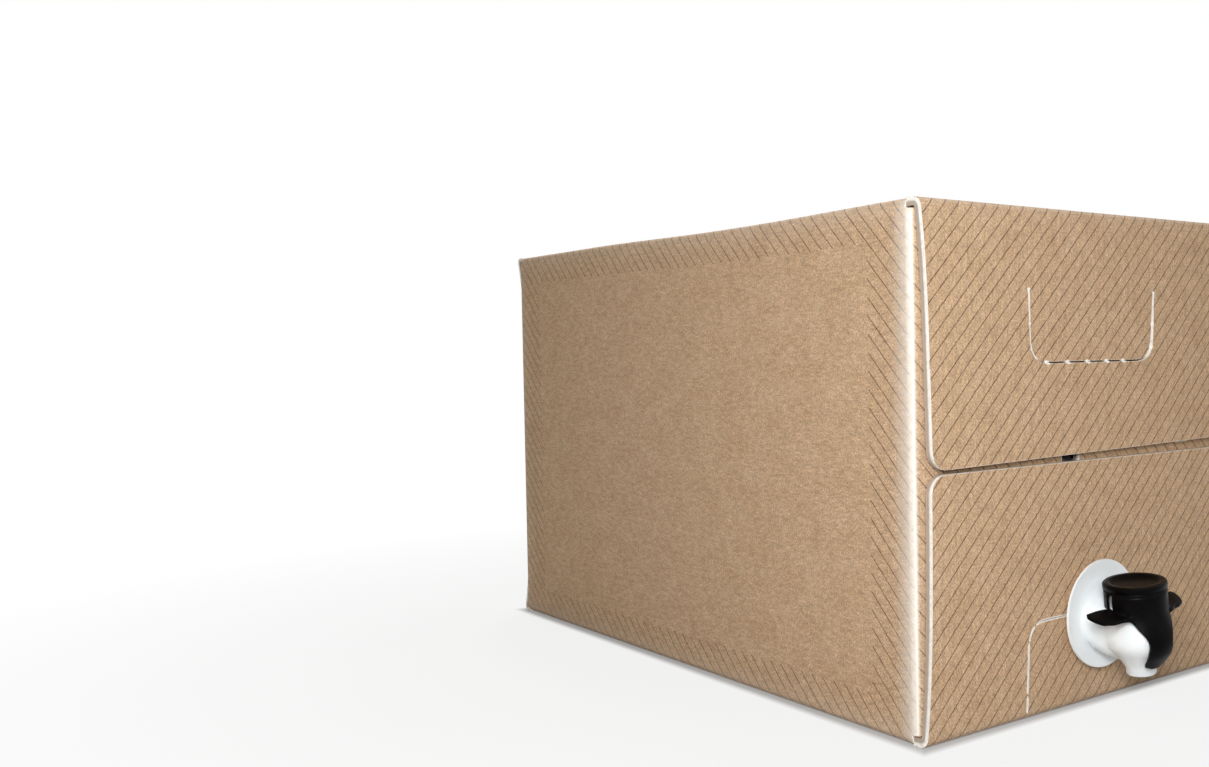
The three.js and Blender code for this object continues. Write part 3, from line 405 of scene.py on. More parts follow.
def cut_board():
    """Cut edge of the board: two liners and between them the wavy ply, crushed pale by the knife. The flutes'
    hollows and the edge's inner half are darkened with painted shade.
    """
    made, tree, shader = new_material("board_cut_edge")
    blank = blank_place(tree)
    parts = node(tree, "SeparateXYZ", blank).outputs
    through = value_of(tree, "DIVIDE", parts["Z"], BOARD)
    ply = value_of(tree, "ADD", product(tree, flute_wave(tree, parts["X"]), 0.33), 0.5)
    off_ply = value_of(tree, "ABSOLUTE", value_of(tree, "SUBTRACT", through, ply))
    ply_mask = spread(tree, off_ply, 0.05, 0.13, 1.0, 0.0)
    from_middle = value_of(tree, "ABSOLUTE", value_of(tree, "SUBTRACT", through, 0.5))
    liner_mask = spread(tree, from_middle, 0.36, 0.42)
    paper_mask = value_of(tree, "MAXIMUM", ply_mask, liner_mask)
    crushed = spread(tree, noise(tree, blank, 600, 4, 0.7), 0.35, 0.6, 0.72, 1.0)
    pale = value_of(tree, "MAXIMUM", product(tree, paper_mask, 0.6), crushed)
    # Painted shade towards the edge's inner half, and in the hollows between the papers.
    unshaded = product(tree, pale, spread(tree, through, 0.35, 0.6, 1.0, 0.15))
    tree.links.new(blended(tree, unshaded, CUT_SHADE, CUT_PAPER), shader.inputs["Base Color"])
    shader.inputs["Roughness"].default_value = 0.9
    bumped(tree, shader, unshaded, CUT_RELIEF)
    return made


SIDE_LINER = printed_kraft("kraft_side_panel", SIDE_BAND, END_BAND, 1.0, QUIET_CREASE)
LEVEL_LINER = printed_kraft("kraft_level_panel", SIDE_BAND, END_BAND, QUIET_CREASE, QUIET_CREASE)
INNER_FLAP_LINER = printed_kraft("kraft_inner_flap", WHOLE_SHEET, WHOLE_SHEET, 1.0, 0.0, 0.1)
OUTER_FLAP_LINER = printed_kraft("kraft_outer_flap", WHOLE_SHEET, WHOLE_SHEET, QUIET_CREASE, 0.0, 0.3)
INNER_LINER = plain_kraft()
BOARD_EDGE = cut_board()

SINK = 1.5 * MM
SINK_MIDDLE = -45 * MM
SINK_REACH = 112 * MM


def slumped(points):
    """The filled carton's slight set: the top sinks a little, most in its middle and over the tap half, and
    the sides follow it down."""
    x, y, z = points.T
    height = np.clip(z / HEIGHT, 0, 1)
    lengthwise = np.clip(1 - ((y - SINK_MIDDLE) / SINK_REACH) ** 2, 0, 1) ** 2
    crosswise = 0.75 + 0.9 * np.clip(1 - (x / HALF_WIDTH) ** 2, 0, 1)
    sink = SINK * lengthwise * crosswise * height ** 3
    return np.stack([x, y, z - sink], -1)


def dressed(name, mesh, body, cad_node, sharp_angle=None):
    """A piece with the mesh, smooth except at sharp edges, that rides on a body and replaces a CAD solid."""
    mesh.polygons.foreach_set("use_smooth", np.ones(len(mesh.polygons), dtype=bool))
    if sharp_angle is not None:
        mesh.set_sharp_from_angle(angle=sharp_angle)
    made = bpy.data.objects.new(name, mesh)
    scene.collection.objects.link(made)
    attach(made, body)
    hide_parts(cad_node)
    return made


def board(name, flat, faces, fray, place, blank, margin, liner):
    """A sheet of board: flat points (n, 2) in metres with faces on them, drawn once on the outer face and
    once on the inner face, and joined by a wall along every edge that belongs to one face only."""
    count = len(flat)
    a, b = flat.T
    outside = place(a, b, np.zeros(count))
    inside = place(a, b, np.full(count, BOARD))
    points = slumped(np.concatenate([outside, inside]))
    faces = [list(face) for face in faces]
    edges = np.array([(face[k], face[(k + 1) % len(face)]) for face in faces for k in range(len(face))])
    key = np.sort(edges, axis=1)
    _, first, total = np.unique(key[:, 0] * count + key[:, 1], return_index=True, return_counts=True)
    rim = edges[first[total == 1]]
    backs = [[corner + count for corner in reversed(face)] for face in faces]
    walls = [[p + count, q + count, q, p] for p, q in rim.tolist()]
    middle = len(faces) // 2
    corners = points[faces[middle][:3]]
    facing = np.cross(corners[1] - corners[0], corners[2] - corners[0])
    probe = place(*(flat[faces[middle]].mean(axis=0)[:, None]), np.array([-BOARD]))
    if np.dot(facing, slumped(probe)[0] - corners[0]) < 0:
        faces = [face[::-1] for face in faces]
        backs = [back[::-1] for back in backs]
        walls = [wall[::-1] for wall in walls]
    mesh = bpy.data.meshes.new(name)
    mesh.from_pydata(points.tolist(), [], faces + backs + walls)
    for material in (liner, INNER_LINER, BOARD_EDGE):
        mesh.materials.append(material)
    slots = np.repeat([0, 1, 2], [len(faces), len(backs), len(walls)]).astype(np.int32)
    mesh.polygons.foreach_set("material_index", slots)
    u, v = blank(a, b)
    depth = np.repeat([0, BOARD], count)
    for label, values in (("blank", np.stack([np.tile(u, 2), np.tile(v, 2), depth], -1)),
                          ("margin", np.tile(np.stack([*margin(a, b), np.zeros(count)], -1), (2, 1)))):
        layer = mesh.attributes.new(label, "FLOAT_VECTOR", "POINT")
        layer.data.foreach_set("vector", values.astype(np.float32).ravel())
    layer = mesh.attributes.new("fray", "FLOAT", "POINT")
    layer.data.foreach_set("value", np.tile(fray, 2).astype(np.float32))
    dressed(name, mesh, "carton", "carton", BOARD_SHARP_ANGLE)


def crossed(stations_a, stations_b):
    """Flat grid points and quads from two lists of stations."""
    a, b = np.meshgrid(stations_a, stations_b, indexing="ij")
    rows, columns = a.shape
    index = np.arange(rows * columns).reshape(rows, columns)
    quads = np.stack([index[:-1, :-1], index[1:, :-1], index[1:, 1:], index[:-1, 1:]], -1).reshape(-1, 4)
    return np.stack([a.ravel(), b.ravel()], -1), quads.tolist()


# Sleeve.
# Four panels round the bag. Each is drawn from the middle of one long fold to the middle of the next, and the
# folds are rounded by the board's own thickness.
FOLD_STEPS = 6
PANEL_STEP = 6 * MM


def across_panel(s, depth, width, start_fold, end_fold):
    """Distance along the panel and inwards from its face, for the arc length s on the outer face: an eighth
    of a turn at each fold and straight between them."""
    lead = EIGHTH if start_fold else 0.0
    flat_start = OUTER_RADIUS if start_fold else 0.0
    flat_end = width - (OUTER_RADIUS if end_fold else 0.0)
    straight = flat_end - flat_start
    along = flat_start + s - lead
    inward = depth + 0 * s
    if start_fold:
        angle = np.clip((lead - s) / OUTER_RADIUS, 0, np.pi / 4)
        early = s < lead
        along = np.where(early, OUTER_RADIUS - (OUTER_RADIUS - depth) * np.sin(angle), along)
        inward = np.where(early, OUTER_RADIUS - (OUTER_RADIUS - depth) * np.cos(angle), inward)
    if end_fold:
        angle = np.clip((s - lead - straight) / OUTER_RADIUS, 0, np.pi / 4)
        late = s > lead + straight
        along = np.where(late, flat_end + (OUTER_RADIUS - depth) * np.sin(angle), along)
        inward = np.where(late, OUTER_RADIUS - (OUTER_RADIUS - depth) * np.cos(angle), inward)
    return along, inward


def stations(length, lead, tail):
    """Arc lengths across a panel, close together on its folds."""
    inner_start = EIGHTH if lead else 0.0
    inner_end = length - (EIGHTH if tail else 0.0)
    count = int(np.ceil((inner_end - inner_start) / PANEL_STEP))
    parts = [np.linspace(inner_start, inner_end, count + 1)]
    if lead:
        parts.insert(0, np.linspace(0, EIGHTH, FOLD_STEPS // 2, endpoint=False))
    if tail:
        parts.append(np.linspace(inner_end, length, FOLD_STEPS // 2 + 1)[1:])
    return np.concatenate(parts)


def panel(name, corner, direction, inward, width, blank_start, lead=True, tail=True):
    """A side of the sleeve from its corner in x and z, running along direction, with inward to the inside."""
    length = width + (EIGHTH - OUTER_RADIUS) * (lead + tail)
    corner, direction, inward = (np.array(value) for value in (corner, direction, inward))

    def place(a, b, depth):
        along, deep = across_panel(a, depth, width, lead, tail)
        x, z = (corner[k] + direction[k] * along + inward[k] * deep for k in (0, 1))
        return np.stack([x, -b, z], -1)

    def blank(a, b):
        return blank_start + a * width / length, b

    def margin(a, b):
        return np.minimum(a, length - a), FOLD_MIDDLE - np.abs(b)

    lengthwise = np.linspace(-SLEEVE_END, SLEEVE_END, int(2 * SLEEVE_END / PANEL_STEP) + 1)
    flat, quads = crossed(stations(length, lead, tail), lengthwise)
    liner = SIDE_LINER if direction[0] == 0 else LEVEL_LINER
    board(name, flat, quads, np.zeros(len(flat)), place, blank, margin, liner)


WIDTH = 2 * HALF_WIDTH
GLUE_SIDE = HALF_WIDTH - BOARD - GLUE_GAP
RIGHT_PANEL_SHY = BOARD / 3
TURNS = {"left": 0.0, "top": HEIGHT, "right": HEIGHT + WIDTH, "bottom": 2 * HEIGHT + WIDTH}
panel("side_panel_left", (-HALF_WIDTH, 0), (0, 1), (1, 0), HEIGHT, TURNS["left"])
panel("top_panel", (-HALF_WIDTH, HEIGHT), (1, 0), (0, -1), WIDTH, TURNS["top"])
panel("side_panel_right", (HALF_WIDTH, HEIGHT), (0, -1), (-1, 0), HEIGHT - RIGHT_PANEL_SHY, TURNS["right"],
      tail=False)
panel("bottom_panel", (GLUE_SIDE, 0), (-1, 0), (0, 1), HALF_WIDTH + GLUE_SIDE,
      TURNS["bottom"] + HALF_WIDTH - GLUE_SIDE)

# Glue flap.
# A strip of the same board, folded up from the bottom panel and held inside the right side panel by hot melt.
GLUE_FLAP = 32 * MM
GLUE_FLAP_SHY = 5 * MM


def glue_flap():
    """From the middle of its fold up to its free edge."""
    length = EIGHTH + GLUE_FLAP - OUTER_RADIUS

    def place(a, b, depth):
        along, deep = across_panel(a, depth, GLUE_FLAP, True, False)
        return np.stack([GLUE_SIDE - deep, -b, along], -1)

    def margin(a, b):
        return a, SLEEVE_END - np.abs(b)

    reach = SLEEVE_END - GLUE_FLAP_SHY
    lengthwise = np.linspace(-reach, reach, int(2 * reach / PANEL_STEP) + 1)
    flat, quads = crossed(stations(length, True, False), lengthwise)
    board("glue_flap", flat, quads, np.zeros(len(flat)), place, lambda a, b: (-a, b), margin, INNER_LINER)


glue_flap()

# Inner flaps.
# At each end two flaps fold in from the side panels first. At the tap end they leave the hand hole and the
# tap's notch clear, and a narrow opening stays between their free edges.
INNER_FLAP = {"left": 77 * MM, "right": 99 * MM}
FLAP_EDGE_CLEARANCE = BOARD + 0.7 * MM
NOTCH_HALF = 38 * MM
NOTCH_TOP = 58.2 * MM
HAND_HOLE_HALF = 39 * MM
HAND_HOLE_LOW = 130.5 * MM
HAND_HOLE_HIGH = 160.5 * MM
RIM_STEP = 1.5 * MM
RIM_INSET = 0.55 * MM
INNER_CLEAR = 0.8 * RIM_INSET
FIELD_CLEAR = 1.6 * RIM_INSET
CUT_MERGE = 1e-7


def over_fold(b, depth, flat_before):
    """Distance outwards and downwards for the arc length b: straight, a quarter turn, and straight again."""
    angle = np.clip((b - flat_before) / OUTER_RADIUS, 0, np.pi / 2)
    after = np.clip(b - flat_before - QUARTER, 0, None)
    outwards = np.minimum(b, flat_before) + (OUTER_RADIUS - depth) * np.sin(angle)
    downwards = OUTER_RADIUS - (OUTER_RADIUS - depth) * np.cos(angle) + after
    return outwards, downwards


def evened(loop, step):
    """The closed outline loop with its long stretches divided into lengths of about step."""
    loop = np.asarray(loop)
    pieces = []
    for start, end in zip(loop, np.roll(loop, -1, axis=0)):
        count = max(1, int(np.ceil(np.linalg.norm(end - start) / step)))
        pieces.append(start + (end - start) * np.linspace(0, 1, count, endpoint=False)[:, None])
    return np.concatenate(pieces)


def inside_loop(points, loop):
    """True where a point lies in the closed outline, by counting the edges that a level ray crosses."""
    x, y = points[:, 0][:, None], points[:, 1][:, None]
    ax, ay = loop.T
    bx, by = np.roll(loop, -1, axis=0).T
    spans = (ay > y) != (by > y)
    with np.errstate(divide="ignore", invalid="ignore"):
        cross = ax + (y - ay) * (bx - ax) / (by - ay)
    return (spans & (x < cross)).sum(axis=1) % 2 == 1


def unit(vectors):
    """The vectors (n, 2), each brought to length one."""
    return vectors / np.linalg.norm(vectors, axis=1)[:, None]


def to_the_left(tangent):
    """The directions a quarter turn to the left of the tangents."""
    return np.stack([-tangent[:, 1], tangent[:, 0]], -1)


def inset(loop, distance):
    """The outline moved to its left by distance, along the mean normal at each point."""
    ahead = np.roll(loop, -1, axis=0) - loop
    behind = loop - np.roll(loop, 1, axis=0)
    tangent = unit(ahead) + unit(behind)
    tangent /= np.maximum(np.linalg.norm(tangent, axis=1)[:, None], 1e-9)
    return loop + distance * to_the_left(tangent)


def signed_area(loop):
    """The outline's area, positive where it runs anticlockwise."""
    ahead = np.roll(loop, -1, axis=0)
    return 0.5 * np.sum(loop[:, 0] * ahead[:, 1] - loop[:, 1] * ahead[:, 0])


def on_board(points, outline, holes):
    """True where a point lies in the outline and in none of the holes."""
    inside = inside_loop(points, outline)
    for hole in holes:
        inside &= ~inside_loop(points, hole)
    return inside


def die_cut(outline, holes, step, rows, extra=np.zeros((0, 2))):
    """Triangles over an outline with holes. Points follow the cuts closely, and a second row lies just inside
    them, so that the torn paper's rim is narrow. The field is a regular grid, dense on the fold's rows. Gives
    the points, the faces, and a fray of 1 where a point lies on a cut beyond the fold."""
    outline = evened(outline, RIM_STEP)
    outline = outline if signed_area(outline) > 0 else outline[::-1]
    holes = [hole if signed_area(hole) < 0 else hole[::-1] for hole in holes]
    loops = [outline, *holes]
    rims = np.concatenate(loops)
    inner = np.concatenate([inset(loop, RIM_INSET) for loop in loops])
    low, high = outline.min(axis=0), outline.max(axis=0)
    flat_rows = np.arange(max(rows) + step / 2, high[1], step)
    grids = [np.meshgrid(np.arange(low[0] + gap / 2, high[0], gap), levels)
             for gap, levels in ((step, flat_rows), (RIM_STEP, rows))]
    field = np.concatenate([np.stack([a.ravel(), b.ravel()], -1) for a, b in grids] + [extra])
    kept = [rims]
    for points, clear in ((inner, INNER_CLEAR), (field, FIELD_CLEAR)):
        near = np.min(np.linalg.norm(points[:, None] - rims[None], axis=2), axis=1)
        kept.append(points[on_board(points, outline, holes) & (near > clear)])
    flat = np.concatenate(kept)
    starts = np.cumsum([0] + [len(loop) for loop in loops])
    edges = [(starts[k] + i, starts[k] + (i + 1) % len(loop)) for k, loop in enumerate(loops)
             for i in range(len(loop))]
    made = delaunay_2d_cdt([Vector(point) for point in flat.tolist()], edges, [], 1, CUT_MERGE)
    cut = np.array([tuple(point) for point in made[0]])
    faces = np.array(made[2])
    faces = faces[on_board(cut[faces].mean(axis=1), outline, holes)]
    used, faces = np.unique(faces, return_inverse=True)
    source = np.array([ids[0] if ids else len(flat) for ids in made[3]])[used]
    torn = (source < len(rims)) & (cut[used][:, 1] > QUARTER)
    return cut[used], faces.reshape(-1, 3).tolist(), torn.astype(float)


def fold_rows(flat_before):
    """Arc lengths of the rows of points over a fold."""
    return flat_before + np.linspace(0, QUARTER, FOLD_STEPS + 1)


def inner_flap_outline(reach, low, high, cut_outs):
    """The flap's outline in height and reach, with cut-outs that are open at its free edge. A cut-out that
    starts at the flap's lower edge leaves no corner there."""
    fold = QUARTER
    end = fold + reach - OUTER_RADIUS
    points = [(low, 0), (high, 0), (high, end)]
    for top, bottom, half in sorted(cut_outs, reverse=True):
        start = fold + HALF_WIDTH - OUTER_RADIUS - half
        points += [(top, end), (top, start), (bottom, start), (bottom, end)]
    points.append((low, end))
    if cut_outs and min(cut_outs)[1] <= low:
        points = points[:-2]
    return np.array(points)


def inner_flap(name, side, end, reach, cut_outs):
    """One flap; side is -1 at the left and 1 at the right, end is -1 at the tap end and 1 at the back."""
    low, high = FLAP_EDGE_CLEARANCE, HEIGHT - FLAP_EDGE_CLEARANCE
    outline = inner_flap_outline(reach, low, high, cut_outs)
    flat, faces, fray = die_cut(outline, [], PANEL_STEP, fold_rows(0))

    def place(a, b, depth):
        out, across = over_fold(b, depth, 0.0)
        return np.stack([side * (HALF_WIDTH - across), end * (SLEEVE_END + out), a], -1)

    def blank(a, b):
        u = TURNS["left"] + a if side < 0 else TURNS["right"] + HEIGHT - a
        return u, -end * (SLEEVE_END + b)

    def margin(a, b):
        return 0 * a + 1, np.abs(b - EIGHTH)

    board(name, flat, faces, fray, place, blank, margin, INNER_FLAP_LINER)


TAP_END_CUT_OUTS = [(NOTCH_TOP, FLAP_EDGE_CLEARANCE, NOTCH_HALF),
                    (HAND_HOLE_HIGH, HAND_HOLE_LOW, HAND_HOLE_HALF)]
inner_flap("tap_end_inner_flap_left", -1, -1, INNER_FLAP["left"], TAP_END_CUT_OUTS)
inner_flap("tap_end_inner_flap_right", 1, -1, INNER_FLAP["right"], TAP_END_CUT_OUTS)
inner_flap("back_end_inner_flap_left", -1, 1, INNER_FLAP["right"], [])
inner_flap("back_end_inner_flap_right", 1, 1, INNER_FLAP["left"], [])

# Outer flaps.
# They fold from the top and bottom panels over the inner flaps, where hot melt holds them. At the tap end
# the upper one carries the perforated handle tab, and the lower one the tap's hole and the perforated door.
FLAT_BEFORE_FOLD = OUTER_FACE - BOARD - SLEEVE_END
OUTER_FLAP_STEP = 4 * MM
FLAP_HALF = HALF_WIDTH - 0.8 * MM
FLAP_TAPER = 4.1 * MM
FLAP_TAPER_REACH = 26 * MM
FLAP_CORNER = 7 * MM
FLAP_LENGTH = HEIGHT / 2 - 1 * MM
FREE_EDGE_ROW = 4 * MM
TAB_FOOT_ROW = 1.2 * MM
FAINT_FRAY = 0.3
SLIT = 0.42 * MM
FOOT_SLIT = 0.55 * MM
SLIT_STEP = 0.9 * MM
SLIT_POINT = 0.5 * MM
SLIT_TIP = 0.35
NICK = 1.3 * MM
NICK_CLEAR = 1.15 * MM
NICK_FRAY = 0.8 * MM
HANDLE_WIDTH = 75 * MM
HANDLE_DEPTH = 27 * MM
HANDLE_DROP = 31 * MM
HANDLE_CORNER = 9 * MM
HANDLE_LEAN = 1.2 * MM
HANDLE_PRESS = 0.8 * MM
HANDLE_SIDE_NICKS = np.array([12.5, 21.5]) * MM
HANDLE_FOOT_NICKS = np.array([-28.6, -15.4, -3.6, 8.0, 18.3]) * MM
HANDLE_FOOT_CURVE = 1.5 * MM
CORNER_SPRING = 0.7 * MM
SPRING_START = 40 * MM
SPRING_LENGTH = 55 * MM
SPRING_SIDE = 30 * MM
SPRING_WIDTH = 60 * MM
DOOR_WIDTH = 82 * MM
DOOR_FOOT = 2.6 * MM
DOOR_FOOT_RIGHT = 15 * MM
DOOR_LEAN = 1.8 * MM
DOOR_CORNER = 9 * MM
DOOR_RISE = 1.4 * MM
DOOR_HOLE_CLEAR = 1.2 * MM
DOOR_NICKS = np.array([6.5, 26, 33]) * MM
TAP_HEIGHT = 34.2 * MM
TAP_HOLE = 15.6 * MM


def reach_to_arc(reach):
    """Arc length on the flap for a distance from the face of the panel that carries it."""
    return FLAT_BEFORE_FOLD + QUARTER + reach - OUTER_RADIUS


def flap_outline(gap_left, gap_right):
    """Straight at the fold, drawn in along a soft curve, with rounded free corners. The free edge runs from
    gap_left to gap_right short of the middle of the end."""
    def half_at(reach):
        return FLAP_HALF - FLAP_TAPER * (1 - np.exp(-np.clip(reach, 0, None) / FLAP_TAPER_REACH))

    ends = FLAP_LENGTH - gap_left, FLAP_LENGTH - gap_right
    turn = np.linspace(0, np.pi / 2, 8)
    sides = []
    for side, end in zip((-1, 1), ends):
        run = np.linspace(0, end - FLAP_CORNER, 24)
        free = half_at(end)
        x = np.concatenate([[FLAP_HALF], half_at(run), free - FLAP_CORNER * (1 - np.cos(turn[1:]))])
        y = np.concatenate([[-reach_to_arc(0)], run, end - FLAP_CORNER * (1 - np.sin(turn[1:]))])
        sides.append(np.stack([side * x, y], -1))
    loop = np.concatenate([sides[1], sides[0][::-1]])
    loop[:, 1] = reach_to_arc(loop[:, 1])
    return loop


def knife_line(points, corner):
    """A path through points with its inner corners rounded, sampled densely."""
    points = np.asarray(points)
    path = [points[0]]
    for before, here, after in zip(points[:-2], points[1:-1], points[2:]):
        back = (before - here) / np.linalg.norm(before - here)
        ahead = (after - here) / np.linalg.norm(after - here)
        t = np.linspace(0, 1, 9)[:, None]
        start, end = here + back * corner, here + ahead * corner
        path.extend((1 - t) ** 2 * start + 2 * t * (1 - t) * here + t ** 2 * end)
    path.append(points[-1])
    return np.array(path)


def run_along(path):
    """Distance of each of the path's points from its start, along the path."""
    return np.concatenate([[0], np.cumsum(np.linalg.norm(np.diff(path, axis=0), axis=1))])


def points_at(path, distances):
    """Points on the path at the given distances from its start."""
    run = run_along(path)
    return np.stack([np.interp(distances, run, path[:, k]) for k in (0, 1)], -1)


def slits(path, nicks, foot=np.inf):
    """Narrow closed cuts along the path, broken by a nick at each given distance from its start, and wider
    where the arc length on the flap is over foot."""
    bounds = [-NICK / 2, *nicks, run_along(path)[-1] + NICK / 2]
    cuts = []
    for before, after in zip(bounds[:-1], bounds[1:]):
        low, high = before + NICK / 2, after - NICK / 2
        at = np.linspace(low, high, max(3, int((high - low) / SLIT_STEP)))
        line = points_at(path, at)
        normal = to_the_left(unit(np.gradient(line, axis=0)))
        wide = np.where(line[:, 1] > foot, FOOT_SLIT, SLIT)
        narrowed = np.clip(np.minimum(at - low, high - at) / SLIT_POINT, SLIT_TIP, 1)
        half = (wide / 2 * narrowed)[:, None]
        cuts.append(np.concatenate([line + normal * half, (line - normal * half)[::-1]]))
    return cuts


def handle_path():
    """The tab's cut in x and arc length on the upper flap: down, across and up again."""
    top, foot = reach_to_arc(HANDLE_DROP), reach_to_arc(HANDLE_DROP + HANDLE_DEPTH)
    half, low_half = HANDLE_WIDTH / 2, HANDLE_WIDTH / 2 - HANDLE_LEAN
    return knife_line([(-half, top), (-low_half, foot), (low_half, foot), (half, top)], HANDLE_CORNER)


def door_path(side):
    """One side of the door's cut on the lower flap: up from the fold, round and in to the tap's hole."""
    half, shoulder = DOOR_WIDTH / 2, DOOR_WIDTH / 2 - DOOR_LEAN
    foot = DOOR_FOOT if side < 0 else DOOR_FOOT_RIGHT
    level = reach_to_arc(TAP_HEIGHT + DOOR_RISE)
    return knife_line([(side * half, reach_to_arc(foot)), (side * shoulder, level),
                       (side * (TAP_HOLE + DOOR_HOLE_CLEAR), level)], DOOR_CORNER)


def outer_flap(name, upper, end, outline, holes=(), shape=None, nicks=()):
    """One outer flap. In its flat coordinates x runs across the carton, and the arc length away from the
    panel. The torn rim is pale at the flap's sides and at nicks, and faint at its free edge and at the tab's
    foot."""
    round_nicks = [nick + NICK_CLEAR * np.array([np.cos(turn), np.sin(turn)])
                   for nick in nicks for turn in np.linspace(0, 2 * np.pi, 12, endpoint=False)]
    flat, faces, fray = die_cut(outline, list(holes), OUTER_FLAP_STEP, fold_rows(FLAT_BEFORE_FOLD),
                                np.array(round_nicks).reshape(-1, 2))
    free_edge = flat[:, 1] > reach_to_arc(FLAP_LENGTH - FREE_EDGE_ROW)
    tab_foot = np.abs(flat[:, 1] - reach_to_arc(HANDLE_DROP + HANDLE_DEPTH)) < TAB_FOOT_ROW
    fray = fray * np.where(free_edge | (tab_foot & upper), FAINT_FRAY, 1.0)
    for nick in nicks:
        fray[np.linalg.norm(flat - nick, axis=1) < NICK_FRAY] = 1.0

    def place(a, b, depth):
        out, down = over_fold(b, depth, FLAT_BEFORE_FOLD)
        if shape is not None:
            out = out - shape(a, b)
        z = HEIGHT - down if upper else down
        return np.stack([a, end * (SLEEVE_END + out), z], -1)

    def blank(a, b):
        u = TURNS["top"] + HALF_WIDTH + a if upper else TURNS["bottom"] + HALF_WIDTH - a
        return u, -end * (SLEEVE_END + b)

    def margin(a, b):
        return 0 * a + 1, np.abs(b - FLAT_BEFORE_FOLD - EIGHTH)

    board(name, flat, faces, fray, place, blank, margin, OUTER_FLAP_LINER)


def pressed_handle(a, b):
    """How far the upper flap's surface lies inwards: the tab is pressed in towards its foot, and the flap's
    free corner at the left springs out a little."""
    tab = inside_loop(np.stack([a, b], -1), handle_path())
    pressed = HANDLE_PRESS * np.clip((b - reach_to_arc(HANDLE_DROP)) / HANDLE_DEPTH, 0, 1) * tab
    reach = np.clip((b - reach_to_arc(SPRING_START)) / SPRING_LENGTH, 0, 1)
    aside = np.clip((-a - SPRING_SIDE) / SPRING_WIDTH, 0, 1)
    return pressed - CORNER_SPRING * reach ** 2 * aside


handle = handle_path()
handle_run = run_along(handle)
handle_foot = handle[:, 1].max()
on_foot = np.abs(handle[:, 1] - handle_foot) < 0.01 * MM
foot_nicks = np.interp(HANDLE_FOOT_NICKS, handle[on_foot, 0], handle_run[on_foot])
handle_nicks = [*HANDLE_SIDE_NICKS, *foot_nicks, *(handle_run[-1] - HANDLE_SIDE_NICKS[::-1])]
handle_cuts = slits(handle, handle_nicks, handle_foot - HANDLE_FOOT_CURVE)
nick_points = points_at(handle, [0, *handle_nicks, handle_run[-1]])
hole_turn = np.linspace(0, 2 * np.pi, 72, endpoint=False)
tap_hole = np.stack([TAP_HOLE * np.cos(hole_turn),
                     TAP_HOLE * np.sin(hole_turn) + reach_to_arc(TAP_HEIGHT)], -1)
door_cuts = [cut for side in (-1, 1) for cut in slits(door_path(side), DOOR_NICKS)]

outer_flap("tap_end_outer_flap_upper", True, -1, flap_outline(-0.4 * MM, 2.2 * MM), handle_cuts,
           pressed_handle, nick_points)
outer_flap("tap_end_outer_flap_lower", False, -1, flap_outline(0.0, 0.2 * MM), [tap_hole, *door_cuts])
outer_flap("back_end_outer_flap_upper", True, 1, flap_outline(0.3 * MM, 0.0))
outer_flap("back_end_outer_flap_lower", False, 1, flap_outline(0.0, 0.4 * MM))

# Plastic and rubber pieces.
# The tap is moulded in milky polyethylene with a black lever. Gland, stem and seals sit inside.
MILKY_TONES = ((0.86, 0.925, 0.98, 1), (0.90, 0.95, 0.995, 1))
BLACK_TONES = ((0.0022, 0.0019, 0.0020, 1), (0.0055, 0.0047, 0.0047, 1))
RUBBER_TONES = ((0.42, 0.44, 0.46, 1), (0.52, 0.54, 0.56, 1))
GLUE_TONES = ((0.62, 0.53, 0.36, 1), (0.80, 0.74, 0.58, 1))
WELD = 0.002 * MM
SMOOTH_ANGLE = np.radians(32)


def white_plastic():
    """Milky polyethylene: slightly translucent, satin, with faint flow marks."""
    made, tree, shader = new_material("milky_polyethylene")
    where = node(tree, "TexCoord").outputs["Object"]
    flow = noise(tree, where, 90, 4, 0.6)
    fine = noise(tree, where, 1400, 2)
    tree.links.new(blended(tree, spread(tree, flow, 0.3, 0.7), *MILKY_TONES), shader.inputs["Base Color"])
    tree.links.new(spread(tree, fine, 0.3, 0.7, 0.3, 0.42), shader.inputs["Roughness"])
    shader.inputs["Subsurface Weight"].default_value = 0.35
    shader.inputs["Subsurface Radius"].default_value = (1.0, 1.0, 1.0)
    shader.inputs["Subsurface Scale"].default_value = 2.5 * MM
    shader.inputs["Specular IOR Level"].default_value = 0.45
    bumped(tree, shader, fine, 0.03 * MM)
    return made


def black_plastic():
    """Black polypropylene from a finely eroded mould: satin, with a few pale rub marks."""
    made, tree, shader = new_material("black_polypropylene")
    where = node(tree, "TexCoord").outputs["Object"]
    grain = noise(tree, where, 2600, 2, 0.6)
    rub = noise(tree, where, 120, 5, 0.7)
    tree.links.new(blended(tree, spread(tree, rub, 0.45, 0.8), *BLACK_TONES), shader.inputs["Base Color"])
    tree.links.new(spread(tree, rub, 0.3, 0.7, 0.27, 0.42), shader.inputs["Roughness"])
    shader.inputs["Specular IOR Level"].default_value = 0.04
    bumped(tree, shader, grain, 0.05 * MM)
    return made


def plain_finish(name, tones, roughness, scale=300, metal=0.0, relief=0.05 * MM):
    """A finish whose tone and gloss vary a little."""
    made, tree, shader = new_material(name)
    where = node(tree, "TexCoord").outputs["Object"]
    cloud = noise(tree, where, scale, 4, 0.6)
    uneven = spread(tree, cloud, 0.3, 0.7, roughness - 0.06, roughness + 0.06)
    tree.links.new(blended(tree, spread(tree, cloud, 0.3, 0.7), *tones), shader.inputs["Base Color"])
    tree.links.new(uneven, shader.inputs["Roughness"])
    shader.inputs["Metallic"].default_value = metal
    bumped(tree, shader, cloud, relief)
    return made


